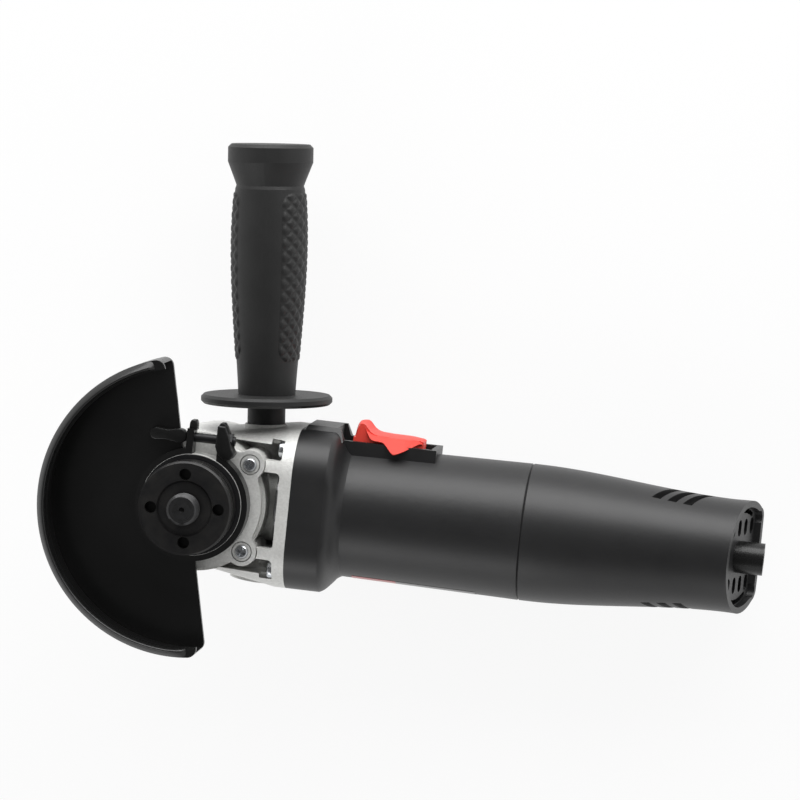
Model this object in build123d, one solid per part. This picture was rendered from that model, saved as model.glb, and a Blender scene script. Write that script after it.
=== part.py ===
from build123d import *
import math
import os

# Angle grinder for 115 mm wheels, with its side handle and guard on and with no wheel fitted.
# The spindle points up along +Z, the body runs back along +X and the side handle leaves on +Y.
# The origin lies on the spindle axis, level with the lock nut's outer face. Sizes are millimetres.

# Clearances
RUN = 0.05            # radial running clearance
SEAT = 0.02           # radial room of a pressed or clamped seat
GAP = 0.4             # room beside a moving or loosely fitted piece

# Spindle and gear train
AXIS_DROP = 60.0      # lock nut's face down to the motor axis
THREAD_R = 7.0        # M14 spindle thread
NOSE = 6.5            # spindle standing out of the lock nut
NOSE_CHAMFER = 1.2
RELIEF = 1.0          # groove length between the free nose and the nut's thread
RELIEF_R = 6.5
CENTRE_R = 2.2        # centre drilling in the spindle's tip
CENTRE_DEPTH = 2.4
JOURNAL_R = 7.5       # spindle in its ball bearing and gear
TAIL_R = 5.0          # spindle in the rear bush
TAIL_END = -83.0
CROWN_TEETH = 36
PINION_TEETH = 12
MODULE = 1.25         # at the large end of the teeth
FACE_WIDTH = 6.0      # tooth length along the cone
TOOTH_HALF = 0.7      # half thickness of a tooth on the pitch cone
ADDENDUM = 0.8
DEDENDUM = 1.4
PRESSURE_ANGLE = 20.0
WEB_LEVEL = 8.0       # crown gear's web above the motor axis
CROWN_RIM = 6.5
CROWN_HUB_R = 10.2
PINION_BORE = 3.2
PINION_BACK = 24.9
PINION_HUB_R = 6.8
PINION_NUT_R = 4.6
PINION_NUT_T = 3.2

# Spindle lock
LOCK_PIN_R = 1.8
LOCK_PIN_AT = 10.4    # from the spindle axis, towards the front
LOCK_HOLES = 6
LOCK_FREE = 0.8       # pin below the crown gear's web at rest
BUTTON_AT = 14.0
BUTTON_R = 7.5
BUTTON_T = 3.2
BUTTON_SUNK = 1.0
BUTTON_ROOM = 5.2     # spring space above the button
LOCK_WIRE_R = 0.35
LOCK_COIL_R = 2.7

# Wheel clamping
NUT_R = 20.75
NUT_H = 7.0
NUT_RECESS_R = 11.6
NUT_RECESS = 1.0
SPANNER_PCD = 30.0
SPANNER_HOLE_R = 2.6
SPANNER_DEPTH = 5.0
SPANNER_TURN = 4.0
FLANGE_R = 20.5
WHEEL_BOSS_R = 11.1   # locates the wheel's 22.2 mm bore
WHEEL_BOSS_H = 1.6
FLANGE_DISC = 4.6
FLANGE_HUB_R = 12.6
FLANGE_FOOT_R = 9.8
FLANGE_FOOT = 2.4

# Ball bearings
SPINDLE_BEARING_R = 17.5
SPINDLE_BEARING_W = 11.0
FRONT_BEARING_R = 13.0
FRONT_BEARING_W = 8.0
REAR_JOURNAL_R = 4.0
REAR_BEARING_R = 11.0
REAR_BEARING_W = 7.0
RACE_SHARE = 0.3
SHIELD_T = 0.8
SPINDLE_BEARING_TOP = -22.0
FRONT_BEARING_X = 25.0
REAR_BEARING_X = 138.0
BUSH_R = 6.9
BUSH_TOP = -73.0
BUSH_L = 10.0
RETAINER_R = 21.0
RETAINER_T = 1.6
PLATE_R = 16.5        # plate that holds the front bearing
PLATE_BORE = 7.5

# Bearing cap
NECK_R = 22.5
NECK_TOP = -15.5
NECK_LIP_R = 14.2
CAP_TOP = -26.0
CAP_PLATE = 5.0
CAP_R = 29.6
SCREW_X = 23.0
SCREW_Y = 19.5
EAR_R = 6.4
EAR_ROOT = 4.0        # rounding where an ear leaves the round plate
CAP_SCREW_R = 2.4
CAP_HEAD_R = 4.2
CAP_HEAD_T = 2.6
CAP_SCREW_L = 18.0

# Gear case
POT_R = 31.0
POT_BORE = 26.5
BACK = 34.5           # motor axis to the back of the head, on which the tool lies
BACK_ROUND = 6.0
FLOOR = 6.5
TAIL_BOSS_R = 8.5
EAR_DROP = 25.0
FLANGE_FRONT = 36.7   # gear case flange that meets the motor housing
FLANGE_BACK = 42.0
COLLAR_W = 72.0
COLLAR_H = 2 * BACK
COLLAR_CORNER = 21.0
FLANGE_WALL = 7.0
DUCT_FRONT = 2.0      # where the tapered duct starts
DUCT_W = 60.4
DUCT_CORNER = 16.0
DUCT_WALL = 4.6
WINDOW_LOW = 12.0     # bottom of the air windows above the motor axis
WINDOW_SIDE = 29.0
WINDOW_ROUND = 2.0
STRUT_W = 5.0
TUNNEL_R = 17.5
TUNNEL_START = 18.0
TUNNEL_END = 33.0
PINION_ROOM = 10.5
CASE_SCREW_R = 2.1
CASE_HEAD_R = 3.8
CASE_HEAD_T = 2.6
CASE_HEAD_ROOM = 6.0
CASE_SCREW_L = 20.0
CASE_SCREW_IN = 4.0   # screw axis in from the collar's corner

# Side handle
HANDLE_X = 23.7       # thread axis at the mouth of its boss
HANDLE_Y = 35.3
HANDLE_Z = 3.0        # above the motor axis
HANDLE_LEAN = 4.8
BOSS_R = 9.5
BOSS_L = 17.0
STUD_R = 5.0          # M10
STUD_IN = 15.0
STUD_OUT = 30.0
GRIP_NECK_R = 8.5
GRIP_NECK = 9.0
DISC_R = 29.5
DISC_T = 4.2
GRIP_L = 125.3
GRIP_FOOT_R = 12.8
GRIP_BELLY_R = 16.6
GRIP_WAIST_R = 15.6
GRIP_END_R = 19.1
GRIP_END = 8.0
GRIP_FLARE = 8.0

# Guard
GUARD_R = 66.0
GUARD_EDGE = 2.0      # open edge ahead of the spindle axis
SHEET = 2.0
GUARD_BACK = -24.0    # underside of the guard's plate
GUARD_FRONT = -2.0
GUARD_LIP = 2.5
GUARD_ROUND = 4.0     # rounding of the guard's two end corners
GUARD_TURN = 12.0     # turned on from straight ahead
BAND_T = 2.6
BAND_LOW = -24.5
BAND_H = 8.5
EAR_LEFT = -3.2
EAR_RIGHT = 10.8
EAR_T = 3.0
EAR_TOP = 33.5
CLAMP_Y = 29.6
CLAMP_Z = -19.5
CLAMP_BOLT_R = 2.1
CLAMP_HEAD_R = 3.6
CLAMP_HEAD_T = 3.2
EYE_T = 2.0
EYE_R = 3.0
PIVOT_OUT = 3.5       # lever pin from the ear's outer face
LEVER_L = 13.0
LEVER_H = 4.4
LEVER_R = 3.3
LEVER_PIN_R = 1.2

# Motor housing and rear cover
WALL = 2.8
COLLAR_END = 57.0
BARREL_START = 65.0
CREST_END = 61.0      # crest on the collar
CREST_TOP = 38.0      # above the motor axis
CREST_H = 6.0
CREST_W = 34.0
CREST_SLOPE = 2.2
BARREL_FRONT_D = 59.0
BARREL_END_D = 61.4
SEAM_X = 145.0
SEAM_GROOVE = 0.5
SPIGOT_X = 153.0
SPIGOT_R = 27.4
BARREL_BORE = 25.0
REAR_X = 243.0        # rear face on the motor axis
REAR_SLANT = 15.0
REAR_D = 50.2
REAR_BACK = 21.8      # motor axis to the flat back at the rear end
REAR_FLAT = 16.5      # half width of that flat
REAR_CORNER = 4.0
REAR_FLARE = 0.8      # widening of the rear end, each side, up to where the slanted cut takes it off
REAR_SPARE = 25.0     # length that the slanted cut takes off
COVER_FULL = 149.0    # where the cover starts to narrow
COVER_THIN = 236.0    # where it has its rear size
END_PLATE = 2.6
END_RECESS = 3.0
SLOT_W = 4.4
SLOT_STEP = 8.6
SLOT_COLUMNS = 4
SLOT_FIRST = -9.6     # first column, from the motor axis towards the back
SLOT_SHORT = 7.4
SLOT_LONG = 10.4
SLOT_RIB = 1.4
BOW_W = 2.2
BOW_HALF = 15.0
BOW_TURN = 34.0       # half angle of the bow on the spindle's side
GLAND_LIP = 0.6
LOUVRE_W = 3.4
LOUVRE_STEP = 7.0
LOUVRE_IN = 33.5      # first louvre ahead of the rear face
LOUVRES = 3
LOUVRE_SLANT = -30.0
LOUVRE_L = 60.0
LOUVRE_LOW = 12.0     # least distance from the body's middle plane
LOUVRE_BACK = -6.0    # ends, from the motor axis towards the spindle
LOUVRE_FRONT = 13.5
GLAND_R = 7.2
GLAND_BORE = 4.0
GLAND_OUT = 11.5
GLAND_IN = 14.0
BRIDGE_X = 136.0
BRIDGE_T = 2.0
BRIDGE_RIM = 3.0

# Motor
SHAFT_R = 5.0
SHAFT_TIP = 0.8       # shaft standing out of the pinion nut
CORE_R = 17.0
CORE_START = 76.0
CORE_END = 116.0
WINDING_R = 15.4
WINDING_L = 5.0
COMMUTATOR_R = 11.0
COMMUTATOR_START = 122.0
COMMUTATOR_END = 134.5
FAN_R = 26.0
FAN_START = 44.0
FAN_END = 54.0
FAN_PLATE = 1.6
FAN_HUB_R = 8.0
FAN_BLADES = 15
BLADE_T = 1.4
BAFFLE_BORE = 20.0
BAFFLE_T = 1.8
STATOR_YOKE = 22.6
STATOR_BORE = 17.6
POLE_HALF = 13.0
COIL_R = 22.3
COIL_BORE = 18.3
COIL_END = 8.0
BRUSH_X = 128.5
BRUSH_W = 5.0
BRUSH_T = 6.0
BRUSH_L = 9.0
HOLDER_WALL = 1.4
HOLDER_OUT = 24.4
BRUSH_COIL_R = 1.7
BRUSH_WIRE_R = 0.3

# Switch
SLIDER_START = 64.5
SLIDER_END = 99.0
SLIDER_W = 20.0
SLIDER_LIFT = 1.1     # slider's underside above the barrel
RIDGE_H = 8.6        # heights above that underside
TAIL_H = 3.5
SLIDER_TAPER = 11.0   # length of the narrowing tail
SLIDER_TIP = 7.0
SLIDER_TRAVEL = 6.0
RAIL_T = 2.6
RAIL_H = 2.2
RAIL_ROOM = 0.9       # room behind the slider at rest
RAIL_AHEAD = 0.5      # room in front of it when pushed on
STEM_L = 8.0
STEM_W = 5.0
ROD_ROOM = 0.3
ROD_T = 1.4
ROD_W = 4.6
ROD_END = 158.5
PLUNGER_L = 1.5
MODULE_W = 18.0
WIRING_ROOM = 20.9    # from the switch back to the gland

SLIDER_SEAT = BARREL_FRONT_D / 2 + SLIDER_LIFT
SLIDER_RIDGE = SLIDER_SEAT + RIDGE_H
SLIDER_TAIL = SLIDER_SEAT + TAIL_H
RAIL_TOP = SLIDER_SEAT + RAIL_H
ROD_Y = BARREL_BORE + ROD_ROOM
RAIL_FRONT = SLIDER_START - SLIDER_TRAVEL - RAIL_AHEAD
RAIL_BACK = SLIDER_END + RAIL_ROOM + RAIL_T
GLAND_START = REAR_X - END_RECESS - END_PLATE - GLAND_IN
MODULE_X = ROD_END + PLUNGER_L
MODULE_END = GLAND_START - WIRING_ROOM
SPINDLE_BEARING = (JOURNAL_R, SPINDLE_BEARING_R, SPINDLE_BEARING_W)
FRONT_BEARING = (SHAFT_R, FRONT_BEARING_R, FRONT_BEARING_W)
REAR_BEARING = (REAR_JOURNAL_R, REAR_BEARING_R, REAR_BEARING_W)
Z_AXIS = -AXIS_DROP
LOW = (Align.CENTER, Align.CENTER, Align.MIN)
CASE_FLOOR = Z_AXIS - BACK
CAP_UNDER = CAP_TOP - CAP_PLATE
SEAT_TOP = -NUT_H
SPINDLE_BEARING_LOW = SPINDLE_BEARING_TOP - SPINDLE_BEARING_W
PINION_TURN = 180.0 / PINION_TEETH
CAP_SCREWS = [(sx * SCREW_X, sy * SCREW_Y) for sx in (-1, 1) for sy in (-1, 1)]
CORNER_U = COLLAR_W / 2 - COLLAR_CORNER
CORNER_V = COLLAR_H / 2 - COLLAR_CORNER
CASE_SCREW_OUT = (COLLAR_CORNER - CASE_SCREW_IN) / math.sqrt(2)
CASE_SCREWS = [(su * (CORNER_U + CASE_SCREW_OUT), sv * (CORNER_V + CASE_SCREW_OUT))
               for su in (-1, 1) for sv in (-1, 1)]


def disc(radius, low, high, x=0.0, y=0.0):
    """Cylinder along the spindle's way between two heights."""
    return Pos(x, y, low) * Cylinder(radius, high - low, align=LOW)


def body_plane(x):
    """Plane across the body: local x is the handle's side, local y is the spindle's way."""
    return Plane(origin=(x, 0, Z_AXIS), x_dir=(0, 1, 0), z_dir=(1, 0, 0))


def shaft(radius, start, end, u=0.0, v=0.0):
    """Cylinder along the body between two stations, u and v off the motor axis."""
    return body_plane(start) * Pos(u, v, 0) * Cylinder(radius, end - start, align=LOW)


def section(x, width, height, corner):
    """Rounded section of the body at x."""
    return body_plane(x) * RectangleRounded(width, height, corner)


def round_section(x, diameter):
    """Body section close to a circle, with the same edges as the collar's section."""
    return section(x, diameter, diameter, diameter / 2 - 0.05)


def block(low, high):
    """Box between two corners."""
    size = [b - a for a, b in zip(low, high)]
    centre = [(a + b) / 2 for a, b in zip(low, high)]
    return Pos(*centre) * Box(*size)


def body_block(x0, x1, u0, u1, v0, v1):
    """Box given by stations along the body and offsets from the motor axis."""
    return block((x0, u0, Z_AXIS + v0), (x1, u1, Z_AXIS + v1))


def spin(points):
    """Solid of revolution about Z from (radius, height) points."""
    return revolve(Plane.XZ * make_face(Polyline(*points, close=True)), Axis.Z)


def on_motor_axis(shape):
    """Moves a shape made about Z at the origin onto the motor axis, its Z along the body."""
    return body_plane(0) * shape


def both_sides(shape):
    """A shape and its mirror image across the body's middle plane."""
    return shape + mirror(shape, about=Plane.XZ)


def bearing(size):
    """Ball bearing about Z from 0 up: outer race with its shields, and inner race."""
    bore, outer, width = size
    race = (outer - bore) * RACE_SHARE
    shield = Cylinder(outer - race, SHIELD_T, align=LOW) - Cylinder(bore + race + GAP, SHIELD_T, align=LOW)
    outer_race = Cylinder(outer - SEAT, width, align=LOW) - Cylinder(outer - race, width, align=LOW)
    outer_race = outer_race + shield + Pos(0, 0, width - SHIELD_T) * shield
    inner_race = Cylinder(bore + race, width, align=LOW) - Cylinder(bore + SEAT, width, align=LOW)
    return outer_race, inner_race


def coil(radius, wire, height):
    """Coil spring about Z from 0 up, as the sleeve that its turns fill."""
    return Cylinder(radius + wire, height, align=LOW) - Cylinder(radius - wire, height, align=LOW)


def bevel_teeth(teeth, mate, turned):
    """Straight bevel teeth about Z with the cone's apex at the origin, and the foot's (radius, height) ends."""
    delta = math.atan2(teeth, mate)
    outer = MODULE * math.hypot(teeth, mate) / 2
    inner = outer - FACE_WIDTH
    along = Vector(math.sin(delta), 0, math.cos(delta))
    out = Vector(math.cos(delta), 0, -math.sin(delta))
    slope = math.tan(math.radians(PRESSURE_ANGLE))
    root = DEDENDUM + 0.3
    wide = TOOTH_HALF + root * slope
    narrow = TOOTH_HALF - ADDENDUM * slope
    shape = [(-wide, -root), (wide, -root), (narrow, ADDENDUM), (-narrow, ADDENDUM)]
    ends = []
    for reach in (outer, inner):
        points = [(a * reach / outer, b * reach / outer) for a, b in shape]
        place = Plane(origin=along * reach, x_dir=(0, -1, 0), z_dir=along)
        ends.append(place * make_face(Polyline(*points, close=True)))
    tooth = loft(ends, ruled=True)
    ring = [Rot(0, 0, turned + i * 360.0 / teeth) * tooth for i in range(teeth)]
    foot_out = along * outer - out * DEDENDUM
    foot_in = along * inner - out * (DEDENDUM * inner / outer)
    return ring, (foot_out.X, foot_out.Z), (foot_in.X, foot_in.Z)


def make_spindle():
    """Spindle with its free M14 nose, bearing journal and rear tail."""
    web = Z_AXIS + WEB_LEVEL
    points = [(0, NOSE - CENTRE_DEPTH), (CENTRE_R, NOSE), (THREAD_R - NOSE_CHAMFER, NOSE),
              (THREAD_R, NOSE - NOSE_CHAMFER), (THREAD_R, 0), (RELIEF_R, 0), (RELIEF_R, -RELIEF),
              (THREAD_R, -RELIEF), (THREAD_R, SPINDLE_BEARING_TOP), (JOURNAL_R, SPINDLE_BEARING_TOP),
              (JOURNAL_R, web), (TAIL_R, web), (TAIL_R, TAIL_END), (0, TAIL_END)]
    return spin(points)


def make_crown_gear():
    """Crown gear: its teeth face the pinion, and holes in its web take the lock pin."""
    ring, foot_out, foot_in = bevel_teeth(CROWN_TEETH, PINION_TEETH, 0.0)
    top = foot_out[1] + CROWN_RIM
    hub_top = SPINDLE_BEARING_LOW - Z_AXIS
    bore = JOURNAL_R + SEAT
    wheel = spin([(bore, WEB_LEVEL), (foot_in[0] - 1.0, WEB_LEVEL), foot_in, foot_out, (foot_out[0], top),
                  (CROWN_HUB_R, top), (CROWN_HUB_R, hub_top), (bore, hub_top)])
    wheel = wheel.fuse(*ring)
    for i in range(LOCK_HOLES):
        turn = math.radians(180.0 + i * 360.0 / LOCK_HOLES)
        x, y = LOCK_PIN_AT * math.cos(turn), LOCK_PIN_AT * math.sin(turn)
        wheel = wheel - disc(LOCK_PIN_R + GAP, 0, top, x, y)
    return Pos(0, 0, Z_AXIS) * wheel


def make_pinion():
    """Bevel pinion on the armature shaft, a tooth gap turned to the crown gear."""
    ring, foot_out, foot_in = bevel_teeth(PINION_TEETH, CROWN_TEETH, PINION_TURN)
    bore = PINION_BORE + SEAT
    front = foot_in[1]
    wheel = spin([(bore, front), foot_in, foot_out, (PINION_HUB_R, foot_out[1]), (PINION_HUB_R, PINION_BACK),
                  (bore, PINION_BACK)])
    wheel = wheel.fuse(*ring) - Cylinder(bore, 60)
    # The teeth's local x is the handle's side after placing, so a quarter turn brings tooth 0 to the crown gear.
    return on_motor_axis(Rot(0, 0, 90) * wheel)


def pinion_front():
    """Station of the pinion's small end."""
    return bevel_teeth(PINION_TEETH, CROWN_TEETH, 0.0)[2][1]


def make_pinion_nut():
    """Hexagon nut that holds the pinion on the shaft."""
    front = pinion_front()
    nut = extrude(RegularPolygon(PINION_NUT_R, 6), PINION_NUT_T) - Cylinder(PINION_BORE + SEAT, 40)
    return body_plane(front - PINION_NUT_T) * nut


def make_inner_flange():
    """Flange under the wheel: its boss centres the wheel, and its foot stands on the bearing's inner race."""
    bore = THREAD_R + SEAT
    disc_top = SEAT_TOP - WHEEL_BOSS_H
    disc_low = disc_top - FLANGE_DISC
    foot_top = SPINDLE_BEARING_TOP + FLANGE_FOOT
    return spin([(bore, SEAT_TOP), (WHEEL_BOSS_R, SEAT_TOP), (WHEEL_BOSS_R, disc_top), (FLANGE_R, disc_top),
                 (FLANGE_R, disc_low), (FLANGE_HUB_R, disc_low), (FLANGE_HUB_R, foot_top),
                 (FLANGE_FOOT_R, foot_top), (FLANGE_FOOT_R, SPINDLE_BEARING_TOP), (bore, SPINDLE_BEARING_TOP)])


def make_lock_nut():
    """Round lock nut with a shallow recess and four holes for a pin spanner."""
    bore = THREAD_R + SEAT
    edge = 0.8
    nut = spin([(bore, -NUT_RECESS), (NUT_RECESS_R, -NUT_RECESS), (NUT_RECESS_R + edge, 0), (NUT_R - edge, 0),
                (NUT_R, -edge), (NUT_R, -NUT_H + edge), (NUT_R - edge, -NUT_H), (bore, -NUT_H)])
    for i in range(4):
        turn = math.radians(SPANNER_TURN + i * 90.0)
        x, y = SPANNER_PCD / 2 * math.cos(turn), SPANNER_PCD / 2 * math.sin(turn)
        nut = nut - disc(SPANNER_HOLE_R, -SPANNER_DEPTH, 1, x, y)
    return nut


def cap_outline(low, high, room):
    """Plate of the bearing cap with its four screw ears, grown by room."""
    plate = Circle(CAP_R + room)
    for x, y in CAP_SCREWS:
        plate = plate + Pos(x, y) * Circle(EAR_R + room)
    roots = [v for v in plate.vertices() if abs(v.Y) > SCREW_Y / 2]
    return Pos(0, 0, low) * extrude(fillet(roots, EAR_ROOT - room), high - low)


def make_bearing_cap():
    """Bearing cap: neck for the guard, plate with four screw ears, spigot and bearing seat."""
    cap = cap_outline(CAP_UNDER, CAP_TOP, 0)
    cap = cap + disc(NECK_R, CAP_TOP, NECK_TOP) + disc(POT_BORE - SEAT, SPINDLE_BEARING_LOW, CAP_UNDER)
    cap = cap - disc(NECK_LIP_R, SPINDLE_BEARING_TOP, NECK_TOP)
    cap = cap - disc(SPINDLE_BEARING[1], SPINDLE_BEARING_LOW, SPINDLE_BEARING_TOP)
    for x, y in CAP_SCREWS:
        cap = cap - disc(CAP_SCREW_R + 0.2, CAP_UNDER, CAP_TOP, x, y)
        cap = cap - disc(CAP_HEAD_R + GAP, CAP_TOP - CAP_HEAD_T, CAP_TOP, x, y)
    return cap


def make_cap_screws():
    """Four screws that hold the bearing cap on the gear case."""
    seat = CAP_TOP - CAP_HEAD_T
    screws = []
    for x, y in CAP_SCREWS:
        head = disc(CAP_HEAD_R, seat, CAP_TOP - 0.2, x, y)
        screws.append(head + disc(CAP_SCREW_R, seat - CAP_SCREW_L, seat, x, y))
    return screws


def make_bearing_retainer():
    """Ring that keeps the spindle bearing in the cap."""
    low = SPINDLE_BEARING_LOW - RETAINER_T
    return disc(RETAINER_R, low, SPINDLE_BEARING_LOW) - disc(CROWN_HUB_R + 2.8, low, SPINDLE_BEARING_LOW)


def handle_plane(side):
    """Plane at the mouth of a handle boss, looking outward, on the +Y (1) or -Y (-1) side."""
    lean = math.radians(HANDLE_LEAN)
    way = (-math.sin(lean), side * math.cos(lean), 0)
    return Plane(origin=(HANDLE_X, side * HANDLE_Y, Z_AXIS + HANDLE_Z), x_dir=(0, 0, 1), z_dir=way)


def duct(front, width, height, corner, rear_inset, inset_rise=0.0):
    """Tapered block of the gear case from a front station back to the flange, its section rounded."""
    rise = -BACK + inset_rise + height / 2
    rear = section(FLANGE_FRONT, COLLAR_W - 2 * rear_inset, COLLAR_H - 2 * rear_inset, COLLAR_CORNER - rear_inset)
    nose = body_plane(front) * Pos(0, rise, 0) * RectangleRounded(width, height, corner)
    return loft([nose, rear], ruled=True)


def window(x0, x1, y0, y1, low):
    """Air window cut down from the spindle's side, its rear corners rounded."""
    cut = block((x0, y0, low), (x1, y1, 0))
    return fillet(cut.edges().filter_by(Axis.Z).group_by(Axis.X)[-1], WINDOW_ROUND)


def make_gear_case():
    """Cast gear case: gear pot, cap ears and a tapered duct whose windows let the fan's air out by the cap."""
    height = CAP_UNDER - CASE_FLOOR
    outer = duct(DUCT_FRONT, DUCT_W, height, DUCT_CORNER, 0)
    inner = duct(DUCT_FRONT + DUCT_WALL, DUCT_W - 2 * DUCT_WALL, height - 2 * DUCT_WALL, DUCT_CORNER - DUCT_WALL,
                 FLANGE_WALL, DUCT_WALL)
    collar = extrude(section(FLANGE_FRONT, COLLAR_W, COLLAR_H, COLLAR_CORNER), FLANGE_BACK - FLANGE_FRONT)
    hole = extrude(section(FLANGE_FRONT, COLLAR_W - 2 * FLANGE_WALL, COLLAR_H - 2 * FLANGE_WALL,
                           COLLAR_CORNER - FLANGE_WALL), FLANGE_BACK - FLANGE_FRONT)
    case = outer + collar - inner - hole
    window_low = Z_AXIS + WINDOW_LOW
    middle = SCREW_Y - STRUT_W / 2
    case = case - window(DUCT_FRONT, FLANGE_FRONT, -middle, middle, window_low)
    case = case - both_sides(window(DUCT_FRONT, FLANGE_FRONT, SCREW_Y + STRUT_W / 2, WINDOW_SIDE, window_low))
    pot = fillet(disc(POT_R, CASE_FLOOR, CAP_UNDER).edges().group_by(Axis.Z)[0], BACK_ROUND)
    case = case + pot + shaft(TUNNEL_R, TUNNEL_START, TUNNEL_END)
    for x, y in CAP_SCREWS:
        case = case + disc(EAR_R, CAP_UNDER - EAR_DROP, CAP_UNDER, x, y)
    for side_sign in (-1, 1):
        case = case + handle_plane(side_sign) * Pos(0, 0, -BOSS_L) * Cylinder(BOSS_R, BOSS_L, align=LOW)
    case = case - disc(POT_BORE, CASE_FLOOR + FLOOR, CAP_UNDER) - cap_outline(CAP_UNDER, 0, GAP)
    button_top = CASE_FLOOR + BUTTON_SUNK + BUTTON_T + BUTTON_ROOM
    case = case + disc(TAIL_BOSS_R, CASE_FLOOR + FLOOR - 1.0, BUSH_TOP)
    case = case + disc(BUTTON_R + 2.5, CASE_FLOOR + FLOOR - 1.0, button_top + 2.0, -BUTTON_AT)
    case = case - disc(BUSH_R, BUSH_TOP - BUSH_L, BUSH_TOP)
    case = case - disc(BUTTON_R + GAP, CASE_FLOOR, button_top, -BUTTON_AT)
    case = case - disc(LOCK_PIN_R + RUN, CASE_FLOOR, BUSH_TOP, -LOCK_PIN_AT)
    case = case - shaft(PINION_ROOM, POT_BORE - 8.0, TUNNEL_END)
    case = case - shaft(FRONT_BEARING[1], FRONT_BEARING_X, TUNNEL_END)
    for x, y in CAP_SCREWS:
        case = case - disc(CAP_SCREW_R + SEAT, CAP_TOP - CAP_HEAD_T - CAP_SCREW_L, CAP_UNDER, x, y)
    for u, v in CASE_SCREWS:
        case = case - shaft(CASE_SCREW_R + 0.2, FLANGE_FRONT, FLANGE_BACK, u, v)
        case = case - shaft(CASE_HEAD_R + GAP, FLANGE_FRONT - CASE_HEAD_ROOM, FLANGE_FRONT, u, v)
    for side_sign in (-1, 1):
        case = case - handle_plane(side_sign) * Pos(0, 0, -STUD_IN) * Cylinder(STUD_R + SEAT, STUD_IN, align=LOW)
        case = case - handle_plane(side_sign) * Cylinder(BOSS_R, BOSS_L, align=LOW)
    return case


def make_case_screws():
    """Four screws from the gear case flange into the motor housing."""
    screws = []
    for u, v in CASE_SCREWS:
        head = shaft(CASE_HEAD_R, FLANGE_FRONT - CASE_HEAD_T, FLANGE_FRONT, u, v)
        screws.append(head + shaft(CASE_SCREW_R, FLANGE_FRONT, FLANGE_FRONT + CASE_SCREW_L, u, v))
    return screws


def make_spindle_bush():
    """Plain bush for the spindle's tail."""
    return disc(BUSH_R - SEAT, BUSH_TOP - BUSH_L, BUSH_TOP) - disc(TAIL_R + RUN, BUSH_TOP - BUSH_L, BUSH_TOP)


def make_front_plate():
    """Plate that holds the front bearing in its tunnel."""
    end = TUNNEL_END + 1.5
    return shaft(PLATE_R, TUNNEL_END, end) - shaft(PLATE_BORE, TUNNEL_END, end)


def make_lock_button():
    """Spindle lock: round button on the back of the head with its pin."""
    low = CASE_FLOOR + BUTTON_SUNK
    pin_top = Z_AXIS + WEB_LEVEL - LOCK_FREE
    button = disc(BUTTON_R, low, low + BUTTON_T, -BUTTON_AT)
    return button + disc(LOCK_PIN_R, low, pin_top, -LOCK_PIN_AT)


def make_lock_spring():
    """Coil spring round the lock pin that holds the button out."""
    low = CASE_FLOOR + BUTTON_SUNK + BUTTON_T
    return Pos(-LOCK_PIN_AT, 0, low) * coil(LOCK_COIL_R, LOCK_WIRE_R, BUTTON_ROOM)


def guard_half(low, high, outer):
    """Half cylinder over the wheel's covered side, turned to where the guard stands."""
    half = Circle(outer) & Pos(-outer - GUARD_EDGE, 0) * Rectangle(2 * outer, 2 * outer)
    half = fillet(half.vertices(), GUARD_ROUND)
    return Rot(0, 0, GUARD_TURN) * Pos(0, 0, low) * extrude(half, high - low)


def make_guard_shell():
    """Pressed wheel guard: half plate, skirt and a lip turned in along the front edge."""
    bore = NECK_R + BAND_T
    plate_top = GUARD_BACK + SHEET
    lip_low = GUARD_FRONT - SHEET
    shell = guard_half(GUARD_BACK, GUARD_FRONT, GUARD_R)
    shell = shell - disc(GUARD_R - SHEET, plate_top, lip_low)
    shell = shell - disc(GUARD_R - SHEET - GUARD_LIP, lip_low, GUARD_FRONT)
    return shell - disc(bore + SEAT, GUARD_BACK, plate_top)


def make_clamp_band():
    """Band round the cap's neck, slit between two ears."""
    high = BAND_LOW + BAND_H
    outer = NECK_R + BAND_T
    band = disc(outer, BAND_LOW, high)
    for x in (EAR_LEFT, EAR_RIGHT):
        band = band + block((x - EAR_T / 2, NECK_R - 4, BAND_LOW), (x + EAR_T / 2, EAR_TOP, high))
    band = band - disc(NECK_R + RUN, BAND_LOW, high)
    slit = block((EAR_LEFT + EAR_T / 2, 0, BAND_LOW), (EAR_RIGHT - EAR_T / 2, 2 * outer, high))
    hole = Pos(0, CLAMP_Y, CLAMP_Z) * Rot(0, 90, 0) * Cylinder(CLAMP_BOLT_R + 0.2, 80)
    return band - slit - hole


def pivot_x():
    """Station of the lever's pin."""
    return EAR_LEFT - EAR_T / 2 - PIVOT_OUT


def make_clamp_bolt():
    """Bolt that draws the band's ears together, with an eye for the lever's pin and a nut at its other end."""
    end = EAR_RIGHT + EAR_T / 2
    start = pivot_x()
    way = Pos(start, CLAMP_Y, CLAMP_Z) * Rot(0, 90, 0)
    bolt = way * Cylinder(CLAMP_BOLT_R, end + CLAMP_HEAD_T + 1.0 - start, align=LOW)
    cheek = EAR_LEFT - EAR_T / 2 - 0.1
    flat = block((start - 10, CLAMP_Y - 10, CLAMP_Z - EYE_T / 2), (cheek, CLAMP_Y + 10, CLAMP_Z + EYE_T / 2))
    keep = block((cheek, CLAMP_Y - 10, CLAMP_Z - 10), (end + 30, CLAMP_Y + 10, CLAMP_Z + 10))
    eye = disc(EYE_R, CLAMP_Z - EYE_T / 2, CLAMP_Z + EYE_T / 2, start, CLAMP_Y)
    bolt = (bolt & keep) + (bolt & flat) + eye
    nut = Pos(end, CLAMP_Y, CLAMP_Z) * Rot(0, 90, 0) * extrude(RegularPolygon(CLAMP_HEAD_R, 6), CLAMP_HEAD_T)
    return bolt + nut - disc(LEVER_PIN_R + RUN, CLAMP_Z - 5, CLAMP_Z + 5, start, CLAMP_Y)


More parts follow.
